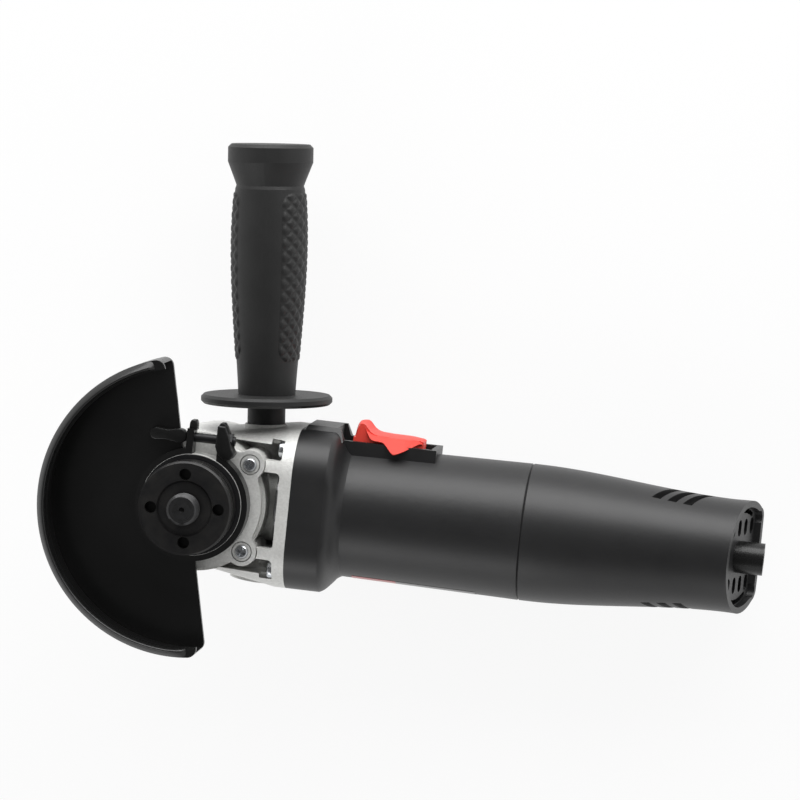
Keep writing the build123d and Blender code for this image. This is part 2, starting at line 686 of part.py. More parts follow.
def make_clamp_lever():
    """Flat lever forked over the bolt's eye, with its pin, lying forward over the guard."""
    low = CLAMP_Z - LEVER_H / 2
    high = CLAMP_Z + LEVER_H / 2
    x = pivot_x()
    tip = x - LEVER_L
    outline = make_face(Polyline((x, CLAMP_Y - LEVER_R), (x, CLAMP_Y + LEVER_R), (tip, CLAMP_Y + 0.6),
                                 (tip - 1.5, CLAMP_Y - 0.6), (tip, CLAMP_Y - 1.8), close=True))
    lever = Pos(0, 0, low) * extrude(outline, high - low) + disc(LEVER_R, low, high, x, CLAMP_Y)
    slot = block((x - EYE_R - 0.6, CLAMP_Y - 10, CLAMP_Z - EYE_T / 2 - 0.15),
                 (x + 10, CLAMP_Y + 10, CLAMP_Z + EYE_T / 2 + 0.15))
    return lever - slot + disc(LEVER_PIN_R, low, high, x, CLAMP_Y)


def make_handle_stud():
    """M10 stud of the side handle, screwed into the gear case."""
    return handle_plane(1) * Pos(0, 0, -STUD_IN) * Cylinder(STUD_R, STUD_IN + STUD_OUT, align=LOW)


def make_handle_grip():
    """Side handle: neck, hand guard disc, bellied grip and flared end."""
    disc_top = GRIP_NECK + DISC_T
    end = GRIP_L - GRIP_END
    flare = end - GRIP_FLARE
    waist = flare - 4.0
    belly = disc_top + (waist - disc_top) * 0.64
    side = Spline((GRIP_FOOT_R, disc_top), (GRIP_FOOT_R + 0.6, disc_top + 9), (GRIP_BELLY_R, belly),
                  (GRIP_WAIST_R, waist))
    points = [(GRIP_WAIST_R, waist), (GRIP_WAIST_R - 0.5, waist + 1.5), (GRIP_WAIST_R + 0.4, flare),
              (GRIP_END_R, end), (GRIP_END_R, GRIP_L - 1.5), (GRIP_END_R - 1.5, GRIP_L), (0, GRIP_L), (0, 0),
              (GRIP_NECK_R, 0), (GRIP_NECK_R, GRIP_NECK), (DISC_R - 1.2, GRIP_NECK), (DISC_R, GRIP_NECK + 1.2),
              (DISC_R, disc_top - 1.2), (DISC_R - 1.2, disc_top), (GRIP_FOOT_R, disc_top)]
    profile = Plane.XZ * make_face([side] + list(Polyline(*points).edges()))
    grip = revolve(profile, Axis.Z) - Cylinder(STUD_R + SEAT, STUD_OUT, align=LOW)
    return handle_plane(1) * grip


def barrel_diameter(x):
    """Outside of the motor housing's barrel at a station."""
    share = (x - BARREL_START) / (SEAM_X - BARREL_START)
    return BARREL_FRONT_D + (BARREL_END_D - BARREL_FRONT_D) * share


def shoulder_section(share):
    """Section of the collar's rear shoulder: it runs down to the barrel in an S from share 0 to 1."""
    fall = share * share * (3 - 2 * share)
    width = COLLAR_W + (BARREL_FRONT_D - COLLAR_W) * fall
    height = COLLAR_H + (BARREL_FRONT_D - COLLAR_H) * fall
    corner = COLLAR_CORNER + (BARREL_FRONT_D / 2 - 0.05 - COLLAR_CORNER) * fall
    return section(COLLAR_END + (BARREL_START - COLLAR_END) * share, width, height, corner)


def make_crest():
    """Raised crest on the collar in front of the switch, chamfered on all sides."""
    middle = (FLANGE_BACK + CREST_END) / 2
    length = CREST_END - FLANGE_BACK
    top = Plane(origin=(middle, CREST_TOP, Z_AXIS), x_dir=(1, 0, 0), z_dir=(0, 1, 0))
    foot = top.offset(-CREST_H)
    slope = 2 * CREST_SLOPE
    return loft([foot * Rectangle(length, CREST_W), top * Rectangle(length - slope, CREST_W - 2 * slope)], ruled=True)


def seam_groove(way):
    """Half of the V groove at the seam, on the housing's side (-1) or the cover's side (1)."""
    outer = BARREL_END_D / 2
    return on_motor_axis(spin([(outer - SEAM_GROOVE, SEAM_X), (outer + 1.0, SEAM_X),
                               (outer + 1.0, SEAM_X + way * (SEAM_GROOVE + 1.0))]))


def make_motor_housing():
    """Motor housing: collar, barrel, switch rails, rear spigot and the bridge that carries the rear bearing."""
    collar = extrude(section(FLANGE_BACK, COLLAR_W, COLLAR_H, COLLAR_CORNER), COLLAR_END - FLANGE_BACK)
    shoulder = loft([shoulder_section(share) for share in (0.0, 0.3, 0.7, 1.0)])
    barrel = loft([round_section(BARREL_START, BARREL_FRONT_D), round_section(SEAM_X, BARREL_END_D)], ruled=True)
    housing = collar + shoulder + barrel + make_crest() + shaft(SPIGOT_R, SEAM_X, SPIGOT_X)
    housing = housing - seam_groove(-1)
    reach = SLIDER_W / 2 + GAP
    rails = body_block(RAIL_FRONT, RAIL_BACK, 20, RAIL_TOP, -reach - RAIL_T, reach + RAIL_T)
    rails = rails - body_block(0, RAIL_BACK - RAIL_T, SLIDER_SEAT - 0.2, 60, -reach, reach)
    housing = housing + rails
    notch = body_block(SLIDER_START - SLIDER_TRAVEL - 1.0, SLIDER_START + 2, SLIDER_SEAT - 0.2, 60, -reach, reach)
    housing = housing - notch
    inner = extrude(section(FLANGE_BACK, COLLAR_W - 2 * WALL, COLLAR_H - 2 * WALL, COLLAR_CORNER - WALL),
                    COLLAR_END - FLANGE_BACK)
    for u, v in CASE_SCREWS:
        inner = inner - shaft(CASE_SCREW_R + WALL, FLANGE_BACK, COLLAR_END, u, v)
    housing = housing - inner - shaft(BARREL_BORE, COLLAR_END, SPIGOT_X)
    bridge = shaft(BARREL_BORE + 0.5, BRIDGE_X, BRIDGE_X + BRIDGE_T)
    for u in (-1, 1):
        for v in (-1, 1):
            bridge = bridge - shaft(4.2, BRIDGE_X, BRIDGE_X + BRIDGE_T, u * 14, v * 10)
    bridge = bridge + shaft(REAR_BEARING[1] + BRIDGE_RIM, REAR_BEARING_X, REAR_BEARING_X + REAR_BEARING[2])
    bridge = bridge - shaft(REAR_BEARING[1], REAR_BEARING_X, SPIGOT_X) - shaft(SHAFT_R + 1.0, BRIDGE_X, SPIGOT_X)
    housing = housing + bridge
    for u, v in CASE_SCREWS:
        housing = housing - shaft(CASE_SCREW_R + SEAT, FLANGE_BACK, FLANGE_FRONT + CASE_SCREW_L, u, v)
    stem_mid = (SLIDER_START + SLIDER_END) / 2
    slot = body_block(stem_mid - STEM_L / 2 - SLIDER_TRAVEL - 0.5, stem_mid + STEM_L / 2 + 0.5, 20, 60,
                      -STEM_W / 2 - 0.3, STEM_W / 2 + 0.3)
    groove = body_block(stem_mid - STEM_L / 2 - SLIDER_TRAVEL - 0.5, SPIGOT_X, 20, ROD_Y + ROD_T + 0.3,
                        -ROD_W / 2 - 0.3, ROD_W / 2 + 0.3)
    return housing - slot - groove


def cover_section(share, inset, x):
    """Section of the rear cover taken in by inset: round at share 0, with a flat back at share 1."""
    full = BARREL_END_D / 2 - inset
    side = REAR_D / 2 - inset
    back = REAR_BACK - inset
    flank = (side + REAR_FLAT) / 2
    ends = [(side, 0), (side - 0.8, -back * 0.4), (flank, REAR_CORNER - back),
            (REAR_FLAT + REAR_CORNER * 0.7, REAR_CORNER * 0.3 - back), (REAR_FLAT - inset, -back), (0, -back - 0.4)]
    rounds = [(full * math.cos(math.radians(a)), -full * math.sin(math.radians(a))) for a in (0, 22, 45, 50, 55, 90)]
    right = [((1 - share) * r[0] + share * e[0], (1 - share) * r[1] + share * e[1]) for r, e in zip(rounds, ends)]
    left = [(-u, v) for u, v in right[:5]]
    top = (0, (1 - share) * full + share * side)
    arcs = [ThreePointArc(left[0], top, right[0]), ThreePointArc(*right[0:3]), ThreePointArc(*right[2:5]),
            ThreePointArc(right[4], right[5], left[4]), ThreePointArc(*left[4:1:-1]), ThreePointArc(*left[2::-1])]
    return body_plane(x) * make_face([edge for arc in arcs for edge in arc.edges()])


def cover_body(inset):
    """Body of the rear cover from the seam back past the rear face, taken in by inset."""
    stations = [i / 4 for i in range(5)]
    neck = [cover_section(s * s * (3 - 2 * s), inset, COVER_FULL + (COVER_THIN - COVER_FULL) * s) for s in stations]
    front = extrude(cover_section(0, inset, SEAM_X), COVER_FULL - SEAM_X)
    end = cover_section(1, inset - REAR_FLARE, REAR_X + REAR_SPARE)
    return front + loft(neck) + loft([neck[-1], end], ruled=True)


def rear_plane(depth):
    """Plane of the slanted rear face, moved in along the body by depth: local y is the handle's side."""
    slant = math.radians(REAR_SLANT)
    return Plane(origin=(REAR_X - depth, 0, Z_AXIS), x_dir=(math.sin(slant), 0, -math.cos(slant)),
                 z_dir=(math.cos(slant), 0, math.sin(slant)))


def behind_rear(depth):
    """Everything behind the slanted rear face, moved in by depth."""
    return rear_plane(depth) * Box(200, 200, 60, align=LOW)


def rear_slots():
    """Slots of the rear grille in the rear face's plane: two rows by the gland and a bow along the rim on each side."""
    slots = []
    for i in range(SLOT_COLUMNS):
        across = SLOT_FIRST + i * SLOT_STEP
        length = SLOT_LONG if i == 0 else SLOT_SHORT
        rise = GLAND_R + GLAND_LIP + SLOT_RIB + length / 2
        for row in (-1, 1):
            slots.append(Pos(across, row * rise) * SlotOverall(length, SLOT_W, 90))
    middle = REAR_D / 2 - WALL - BOW_W / 2 - SLOT_RIB / 2
    for row in (-1, 1):
        bow = ThreePointArc((-BOW_HALF * 0.4, row * (middle - 0.6)), (BOW_HALF * 0.3, row * middle),
                            (BOW_HALF, row * (middle - 2.4)))
        slots.append(SlotArc(bow, BOW_W))
    turn = math.radians(BOW_TURN)
    near = (-middle * math.cos(turn), -middle * math.sin(turn))
    slots.append(SlotArc(ThreePointArc(near, (-middle, 0), (near[0], -near[1])), BOW_W))
    return slots


def make_rear_cover():
    """Rear cover over the switch: tapering shell, slanted end, recessed grille and side louvres."""
    shell = cover_body(0) - behind_rear(0)
    hollow = cover_body(WALL)
    inside = hollow - behind_rear(END_RECESS + END_PLATE)
    recess = hollow & behind_rear(END_RECESS)
    cover = shell - inside - recess
    cover = cover - shaft(SPIGOT_R + 0.15, SEAM_X, SPIGOT_X + 0.2) - seam_groove(1)
    plate = rear_plane(END_RECESS + END_PLATE)
    for slot in rear_slots():
        cover = cover - plate * extrude(slot, END_PLATE + 1.0)
    cover = cover - shaft(GLAND_R + SEAT, REAR_X - 30, REAR_X + 30)
    for i in range(LOUVRES):
        x = REAR_X - LOUVRE_IN + i * LOUVRE_STEP
        cut = Pos(x, 0, Z_AXIS) * Rot(0, LOUVRE_SLANT, 0) * Box(LOUVRE_W, 4 * REAR_D, LOUVRE_L)
        reach = body_block(SEAM_X, REAR_X, LOUVRE_LOW, REAR_D, LOUVRE_BACK, LOUVRE_FRONT)
        cover = cover - both_sides(cut & reach)
    return cover


def make_cord_gland():
    """Rubber gland in the rear face, open for the cord."""
    start = GLAND_START
    end = REAR_X - END_RECESS + GLAND_OUT
    gland = shaft(GLAND_R, start, end)
    collar = shaft(GLAND_R + 2.0, start, start + 3.0)
    return gland + collar - shaft(GLAND_BORE, start, end)


def make_armature_shaft():
    """Armature shaft, stepped down at the pinion and at the rear bearing."""
    front = shaft(PINION_BORE, pinion_front() - PINION_NUT_T - SHAFT_TIP, PINION_BACK)
    rear = shaft(REAR_BEARING[0], REAR_BEARING_X - 1.0, REAR_BEARING_X + REAR_BEARING[2])
    return front + shaft(SHAFT_R, PINION_BACK, REAR_BEARING_X - 1.0) + rear


def make_armature_core():
    """Laminated core on the shaft."""
    return shaft(CORE_R, CORE_START, CORE_END) - shaft(SHAFT_R + SEAT, CORE_START, CORE_END)


def make_armature_windings():
    """Copper end turns at both ends of the core."""
    ends = []
    for start in (CORE_START - WINDING_L, CORE_END):
        ends.append(shaft(WINDING_R, start, start + WINDING_L) - shaft(SHAFT_R + SEAT, start, start + WINDING_L))
    return ends


def make_commutator():
    """Commutator with its riser."""
    riser = shaft(COMMUTATOR_R + 1.4, COMMUTATOR_START, COMMUTATOR_START + 1.6)
    return riser + shaft(COMMUTATOR_R, COMMUTATOR_START, COMMUTATOR_END) - shaft(SHAFT_R + SEAT, COMMUTATOR_START, COMMUTATOR_END)


def make_cooling_fan():
    """Radial fan with its blades on the motor's side of a plate."""
    fan = shaft(FAN_R, FAN_START, FAN_START + FAN_PLATE) + shaft(FAN_HUB_R, FAN_START, FAN_END)
    blade_in = FAN_HUB_R - 1.0
    blade_out = FAN_R - 0.8
    blade = Pos((blade_in + blade_out) / 2, 0, FAN_PLATE / 2)
    blade = blade * Box(blade_out - blade_in, BLADE_T, FAN_END - FAN_START - FAN_PLATE / 2 - 0.5, align=LOW)
    blades = [body_plane(FAN_START) * Rot(0, 0, i * 360.0 / FAN_BLADES) * blade for i in range(FAN_BLADES)]
    return fan.fuse(*blades) - shaft(SHAFT_R + SEAT, FAN_START, FAN_END)


def make_fan_baffle():
    """Plate between the fan and the motor that makes the air pass through the motor first."""
    start = COLLAR_END - BAFFLE_T
    width = COLLAR_W - 2 * WALL - 0.2
    height = COLLAR_H - 2 * WALL - 0.2
    plate = extrude(section(start, width, height, COLLAR_CORNER - WALL - 0.1), BAFFLE_T)
    for u, v in CASE_SCREWS:
        plate = plate - shaft(CASE_SCREW_R + WALL + 0.2, start, COLLAR_END, u, v)
    return plate - shaft(BAFFLE_BORE, start, COLLAR_END)


def stator_poles(room):
    """Two pole pieces above and below the armature, grown by room."""
    poles = shaft(STATOR_YOKE + 0.2, CORE_START - room, CORE_END + room) - shaft(STATOR_BORE, CORE_START - room,
                                                                                 CORE_END + room)
    return poles & body_block(CORE_START - room, CORE_END + room, -POLE_HALF - room, POLE_HALF + room, -40, 40)


def make_stator_core():
    """Stator core: round yoke with two poles."""
    yoke = shaft(BARREL_BORE - SEAT, CORE_START, CORE_END) - shaft(STATOR_YOKE, CORE_START, CORE_END)
    yoke = yoke + stator_poles(0)
    groove = body_block(CORE_START, CORE_END, ROD_Y - 1.0, 40, -ROD_W, ROD_W)
    return yoke - groove


def make_field_coils():
    """Field winding round the poles, its end turns standing out at both ends."""
    start = CORE_START - COIL_END
    end = CORE_END + COIL_END - 3.0
    return shaft(COIL_R, start, end) - shaft(COIL_BORE, start, end) - stator_poles(0.2)


def make_brush_holders():
    """Two brush boxes on the bridge, above and below the commutator."""
    half_t = BRUSH_T / 2 + RUN
    half_w = BRUSH_W / 2 + RUN
    box = body_block(BRUSH_X - half_t - HOLDER_WALL, BRIDGE_X, -half_w - HOLDER_WALL, half_w + HOLDER_WALL,
                     COMMUTATOR_R + 1.6, HOLDER_OUT)
    box = box - body_block(BRUSH_X - half_t, BRUSH_X + half_t, -half_w, half_w, 0, HOLDER_OUT - HOLDER_WALL)
    return [box, mirror(box, about=Plane(origin=(0, 0, Z_AXIS), z_dir=(0, 0, 1)))]


def make_carbon_brushes():
    """Two carbon brushes that bear on the commutator."""
    low = COMMUTATOR_R + RUN
    brush = body_block(BRUSH_X - BRUSH_T / 2, BRUSH_X + BRUSH_T / 2, -BRUSH_W / 2, BRUSH_W / 2, low, low + BRUSH_L)
    return [brush, mirror(brush, about=Plane(origin=(0, 0, Z_AXIS), z_dir=(0, 0, 1)))]


def make_brush_springs():
    """Two coil springs between the brushes and the ends of their boxes."""
    low = COMMUTATOR_R + RUN + BRUSH_L
    spring = Pos(BRUSH_X, 0, Z_AXIS + low) * coil(BRUSH_COIL_R, BRUSH_WIRE_R, HOLDER_OUT - HOLDER_WALL - low)
    return [spring, mirror(spring, about=Plane(origin=(0, 0, Z_AXIS), z_dir=(0, 0, 1)))]


def make_switch_slider():
    """Slide switch: rounded thumb ridge in front, saddle, tail that narrows, and a stem through the housing."""
    half = SLIDER_W / 2
    base = SLIDER_SEAT
    crown = Spline((SLIDER_START, base + 4.0), (SLIDER_START + 2.4, SLIDER_RIDGE - 1.0),
                   (SLIDER_START + 5.0, SLIDER_RIDGE - 0.4), (SLIDER_START + 9.5, SLIDER_TAIL + 3.0),
                   (SLIDER_START + 15.0, SLIDER_TAIL + 1.2), (SLIDER_END - 4.0, SLIDER_TAIL),
                   (SLIDER_END, base + 1.6))
    rest = Polyline((SLIDER_END, base + 1.6), (SLIDER_END, base), (SLIDER_START, base), (SLIDER_START, base + 4.0))
    face = make_face(crown.edges() + rest.edges())
    slider = Pos(0, 0, Z_AXIS - half) * extrude(face, SLIDER_W)
    shoulder = SLIDER_END - SLIDER_TAPER
    plan = Polyline((SLIDER_START, -half), (SLIDER_START, half), (shoulder, half), (SLIDER_END, SLIDER_TIP / 2),
                    (SLIDER_END, -SLIDER_TIP / 2), (shoulder, -half), close=True)
    above = Plane(origin=(0, base, Z_AXIS), x_dir=(1, 0, 0), z_dir=(0, 1, 0))
    slider = slider & above * extrude(make_face(plan), 2 * (SLIDER_RIDGE - base))
    mid = (SLIDER_START + SLIDER_END) / 2
    stem = body_block(mid - STEM_L / 2, mid + STEM_L / 2, ROD_Y + ROD_T, base, -STEM_W / 2, STEM_W / 2)
    return slider + stem


def make_switch_rod():
    """Flat rod from the slider back to the switch, bent down to its plunger."""
    mid = (SLIDER_START + SLIDER_END) / 2
    rod = body_block(mid - STEM_L / 2, ROD_END, ROD_Y, ROD_Y + ROD_T, -ROD_W / 2, ROD_W / 2)
    return rod + body_block(ROD_END - 1.6, ROD_END, 2, ROD_Y + ROD_T, -ROD_W / 2, ROD_W / 2)


def make_switch_module():
    """Electrical switch with its plunger towards the rod."""
    half = MODULE_W / 2
    box = body_block(MODULE_X, MODULE_END, -half, half, -half, half)
    return box + body_block(ROD_END, MODULE_X, 4, 8, -2, 2)


def paired_bearing(size, plane):
    """Outer and inner race of a bearing, placed on a plane."""
    outer_race, inner_race = bearing(size)
    return plane * outer_race, plane * inner_race


def make_all():
    """Every node's shape by name."""
    top_outer, top_inner = paired_bearing(SPINDLE_BEARING, Plane.XY.offset(SPINDLE_BEARING_LOW))
    front_outer, front_inner = paired_bearing(FRONT_BEARING, body_plane(FRONT_BEARING_X))
    rear_outer, rear_inner = paired_bearing(REAR_BEARING, body_plane(REAR_BEARING_X))
    return {
        "gear_case": make_gear_case(),
        "bearing_cap": make_bearing_cap(),
        "cap_screws": make_cap_screws(),
        "bearing_retainer": make_bearing_retainer(),
        "case_screws": make_case_screws(),
        "spindle_bearing_outer": top_outer,
        "spindle_bush": make_spindle_bush(),
        "front_bearing_outer": front_outer,
        "front_bearing_plate": make_front_plate(),
        "rear_bearing_outer": rear_outer,
        "motor_housing": make_motor_housing(),
        "fan_baffle": make_fan_baffle(),
        "stator_core": make_stator_core(),
        "field_coils": make_field_coils(),
        "brush_holders": make_brush_holders(),
        "carbon_brushes": make_carbon_brushes(),
        "brush_springs": make_brush_springs(),
        "rear_cover": make_rear_cover(),
        "cord_gland": make_cord_gland(),
        "switch_module": make_switch_module(),
        "handle_stud": make_handle_stud(),
        "handle_grip": make_handle_grip(),
        "spindle": make_spindle(),
        "spindle_bearing_inner": top_inner,
        "crown_gear": make_crown_gear(),
        "inner_flange": make_inner_flange(),
        "lock_nut": make_lock_nut(),
        "armature_shaft": make_armature_shaft(),
        "armature_core": make_armature_core(),
        "armature_windings": make_armature_windings(),
        "commutator": make_commutator(),
        "cooling_fan": make_cooling_fan(),
        "pinion": make_pinion(),
        "pinion_nut": make_pinion_nut(),
        "front_bearing_inner": front_inner,
        "rear_bearing_inner": rear_inner,
        "guard_shell": make_guard_shell(),
        "clamp_band": make_clamp_band(),
        "clamp_bolt": make_clamp_bolt(),
        "clamp_lever": make_clamp_lever(),
        "switch_slider": make_switch_slider(),
        "switch_rod": make_switch_rod(),
        "lock_button": make_lock_button(),
        "lock_spring": make_lock_spring(),
    }


os.makedirs("parts", exist_ok=True)
for node, shape in make_all().items():
    if isinstance(shape, list):
        shape = Compound(children=[piece for piece in shape])
    export_step(shape, f"parts/{node}.step")
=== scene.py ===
"""Studio scene of an angle grinder lying on its back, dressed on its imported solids.

The frame is the model's own: the spindle points up along +Z, the body runs back along +X and the
side handle leaves on +Y. Sizes are metres.
"""

import logging
import math
from collections.abc import Sequence
from dataclasses import dataclass
from enum import Enum
from functools import cache

import bmesh
import bpy
from mathutils import Matrix, Vector
from mathutils.bvhtree import BVHTree


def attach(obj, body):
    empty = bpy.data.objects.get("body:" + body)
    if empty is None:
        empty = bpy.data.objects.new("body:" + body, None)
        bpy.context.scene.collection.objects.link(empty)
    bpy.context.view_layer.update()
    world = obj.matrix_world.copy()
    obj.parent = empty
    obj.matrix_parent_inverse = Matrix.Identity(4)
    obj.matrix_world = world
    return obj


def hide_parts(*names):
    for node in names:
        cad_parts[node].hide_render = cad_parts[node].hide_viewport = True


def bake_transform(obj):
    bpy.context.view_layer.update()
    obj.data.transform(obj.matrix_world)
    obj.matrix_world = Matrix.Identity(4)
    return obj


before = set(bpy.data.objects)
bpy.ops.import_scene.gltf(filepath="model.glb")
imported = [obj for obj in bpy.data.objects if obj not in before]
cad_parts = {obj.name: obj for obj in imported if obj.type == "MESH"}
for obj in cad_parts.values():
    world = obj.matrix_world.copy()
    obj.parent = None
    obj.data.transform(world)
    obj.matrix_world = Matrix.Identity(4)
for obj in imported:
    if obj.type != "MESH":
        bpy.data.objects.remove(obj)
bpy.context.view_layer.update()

LOG = logging.getLogger("grinder")
MM = 0.001
AXIS_Z = -60.0 * MM
FLOOR_Z = -94.5 * MM
UP = (0.0, 0.0, 1.0)
ORIGIN = (0.0, 0.0, 0.0)
MERGE = 1e-7
SHARP_ANGLE = 35.0
NOISE_ROUGH = 0.55
NOISE_LOW = 0.3
NOISE_HIGH = 0.7
FINE_DETAIL = 2.0
MOTTLE_DETAIL = 4.0
TURNING_MARK = 0.0004
COAT_ROUGH = 0.12
MIX_COLOUR_INPUTS = (0, 6, 7)
MIX_COLOUR_OUTPUT = 2
WHITE = (1.0, 1.0, 1.0, 1.0)

Colour = tuple[float, float, float]
Point = tuple[float, float, float]
Outline = Sequence[tuple[float, float]]
Socket = bpy.types.NodeSocket
Mesh = bmesh.types.BMesh
Vert = bmesh.types.BMVert
Edge = bmesh.types.BMEdge


class Body(Enum):
    """Rigid bodies of the tool that pieces ride on."""

    HOUSING = "housing"
    SPINDLE = "spindle"
    GUARD = "guard"
    CLAMP_LEVER = "clamp_lever"
    SWITCH = "switch"
    LOCK_BUTTON = "lock_button"


def add_node(tree: bpy.types.NodeTree, kind: str,
             **values: float | tuple[float, ...]) -> bpy.types.Node:
    """Adds a node and sets some of its inputs.

    Args:
        tree: Tree that takes the node.
        kind: The node's type.
        values: Values by the input's name, with an underscore for each space.

    Returns:
        The new node.
    """
    node = tree.nodes.new(kind)
    for name, value in values.items():
        node.inputs[name.replace("_", " ")].default_value = value
    return node


class NodeGraph:
    """Builds one material's node tree round a Principled shader."""

    def __init__(self, name: str) -> None:
        """Starts a material with a shader, an output and Object coordinates.

        Args:
            name: Name of the new material.
        """
        self.material = bpy.data.materials.new(name)
        self.material.use_nodes = True
        self.tree = self.material.node_tree
        self.tree.nodes.clear()
        self.shader = self.node("ShaderNodeBsdfPrincipled")
        self.surface = self.node("ShaderNodeOutputMaterial").inputs["Surface"]
        self.join(self.shader.outputs["BSDF"], self.surface)
        self.coords = self.node("ShaderNodeTexCoord").outputs["Object"]

    def node(self, kind: str, **values: float | tuple[float, ...]) -> bpy.types.Node:
        """Adds a node to the material."""
        return add_node(self.tree, kind, **values)

    def join(self, source: Socket, target: Socket) -> None:
        """Links one socket to another."""
        self.tree.links.new(source, target)

    def noise(self, scale: float, detail: float, vector: Socket | None = None) -> Socket:
        """Adds a noise texture.

        Args:
            scale: Cells per metre.
            detail: Octaves of the noise.
            vector: Coordinates, or None for Object coordinates.

        Returns:
            The noise's value socket.
        """
        node = self.node("ShaderNodeTexNoise", Scale=scale, Detail=detail, Roughness=NOISE_ROUGH)
        self.join(vector or self.coords, node.inputs["Vector"])
        return node.outputs["Fac"]

    def stretched(self, factors: Point) -> Socket:
        """Scales Object coordinates along each axis.

        Args:
            factors: Scale along X, Y and Z.

        Returns:
            The scaled vector socket.
        """
        node = self.node("ShaderNodeMapping", Scale=factors)
        self.join(self.coords, node.inputs["Vector"])
        return node.outputs["Vector"]

    def axes(self) -> bpy.types.NodeOutputs:
        """Splits Object coordinates.

        Returns:
            Value sockets named X, Y and Z.
        """
        node = self.node("ShaderNodeSeparateXYZ")
        self.join(self.coords, node.inputs[0])
        return node.outputs

    def worked(self, operation: str, first: Socket, second: Socket | float) -> Socket:
        """Adds a math node.

        Args:
            operation: What it works out.
            first: First value.
            second: Second value, as a socket or a number.

        Returns:
            The result's socket.
        """
        node = self.node("ShaderNodeMath")
        node.operation = operation
        self.join(first, node.inputs[0])
        if isinstance(second, float):
            node.inputs[1].default_value = second
        else:
            self.join(second, node.inputs[1])
        return node.outputs[0]

    def rings(self) -> Socket:
        """Makes coordinates for turning marks about Z: radius, a little of the angle, and height.

        Returns:
            The vector socket.
        """
        axes = self.axes()
        reach = self.node("ShaderNodeVectorMath")
        reach.operation = "LENGTH"
        self.join(self.stretched((1.0, 1.0, 0.0)), reach.inputs[0])
        angle = self.worked("ARCTAN2", axes["Y"], axes["X"])
        joined = self.node("ShaderNodeCombineXYZ")
        self.join(reach.outputs["Value"], joined.inputs["X"])
        self.join(self.worked("MULTIPLY", angle, TURNING_MARK), joined.inputs["Y"])
        self.join(axes["Z"], joined.inputs["Z"])
        return joined.outputs["Vector"]

    def spread(self, value: Socket, low: float, high: float) -> Socket:
        """Maps a noise's usual values to a range.

        Args:
            value: Value socket.
            low: Result at the noise's low end.
            high: Result at its high end.

        Returns:
            The mapped value socket.
        """
        node = self.node("ShaderNodeMapRange", From_Min=NOISE_LOW, From_Max=NOISE_HIGH, To_Min=low,
                         To_Max=high)
        self.join(value, node.inputs["Value"])
        return node.outputs["Result"]

    def blend(self, value: Socket, first: Colour, second: Colour | Socket) -> Socket:
        """Mixes two colours by a value.

        Args:
            value: Mixing factor.
            first: Colour at 0.
            second: Colour at 1, plain or as a socket.

        Returns:
            The colour socket.
        """
        node = self.node("ShaderNodeMix")
        node.data_type = "RGBA"
        factor, low, high = (node.inputs[place] for place in MIX_COLOUR_INPUTS)
        self.join(value, factor)
        low.default_value = (*first, 1.0)
        if isinstance(second, tuple):
            high.default_value = (*second, 1.0)
        else:
            self.join(second, high)
        return node.outputs[MIX_COLOUR_OUTPUT]

    def bump(self, height: Socket, depth: float, normal: Socket | None = None) -> Socket:
        """Adds a bump node.

        Args:
            height: Height value socket.
            depth: Depth of the relief in metres.
            normal: Normal to add to, or None.

        Returns:
            The bumped normal socket.
        """
        node = self.node("ShaderNodeBump", Strength=1.0, Distance=depth)
        self.join(height, node.inputs["Height"])
        if normal is not None:
            self.join(normal, node.inputs["Normal"])
        return node.outputs["Normal"]


@dataclass(frozen=True)
class Finish:
    """A surface: two colours that mottle, a roughness range and one or two grains of relief.

    Sizes of grains are cells per metre and depths are metres.
    """

    name: str
    colour: Colour
    second: Colour
    rough: tuple[float, float]
    metallic: float = 0.0
    grain: float = 2600.0
    depth: float = 0.00003
    mottle: float = 90.0
    coarse: float = 0.0
    coarse_depth: float = 0.0
    coat: float = 0.0
    specular: float = 0.5
    along: Point = (1.0, 1.0, 1.0)
    lathe: bool = False
    band: Colour | None = None
    band_end: float = 0.0

    @cache
    def material(self) -> bpy.types.Material:
        """Makes the finish's material, once.

        Returns:
            The material.
        """
        graph = NodeGraph(self.name)
        inputs = graph.shader.inputs
        inputs["Metallic"].default_value = self.metallic
        inputs["Coat Weight"].default_value = self.coat
        inputs["Coat Roughness"].default_value = COAT_ROUGH
        inputs["Specular IOR Level"].default_value = self.specular
        patches = graph.spread(graph.noise(self.mottle, MOTTLE_DETAIL), 0.0, 1.0)
        tint = graph.blend(patches, self.colour, self.second)
        if self.band is not None:
            past = graph.worked("GREATER_THAN", graph.axes()["X"], self.band_end)
            tint = graph.blend(past, self.band, tint)
        graph.join(tint, inputs["Base Color"])
        where = graph.rings() if self.lathe else graph.stretched(self.along)
        fine = graph.noise(self.grain, FINE_DETAIL, where)
        graph.join(graph.spread(fine, *self.rough), inputs["Roughness"])
        normal = graph.bump(fine, self.depth)
        if self.coarse:
            coarse = graph.noise(self.coarse, FINE_DETAIL)
            normal = graph.bump(coarse, self.coarse_depth, normal)
        graph.join(normal, inputs["Normal"])
        return graph.material


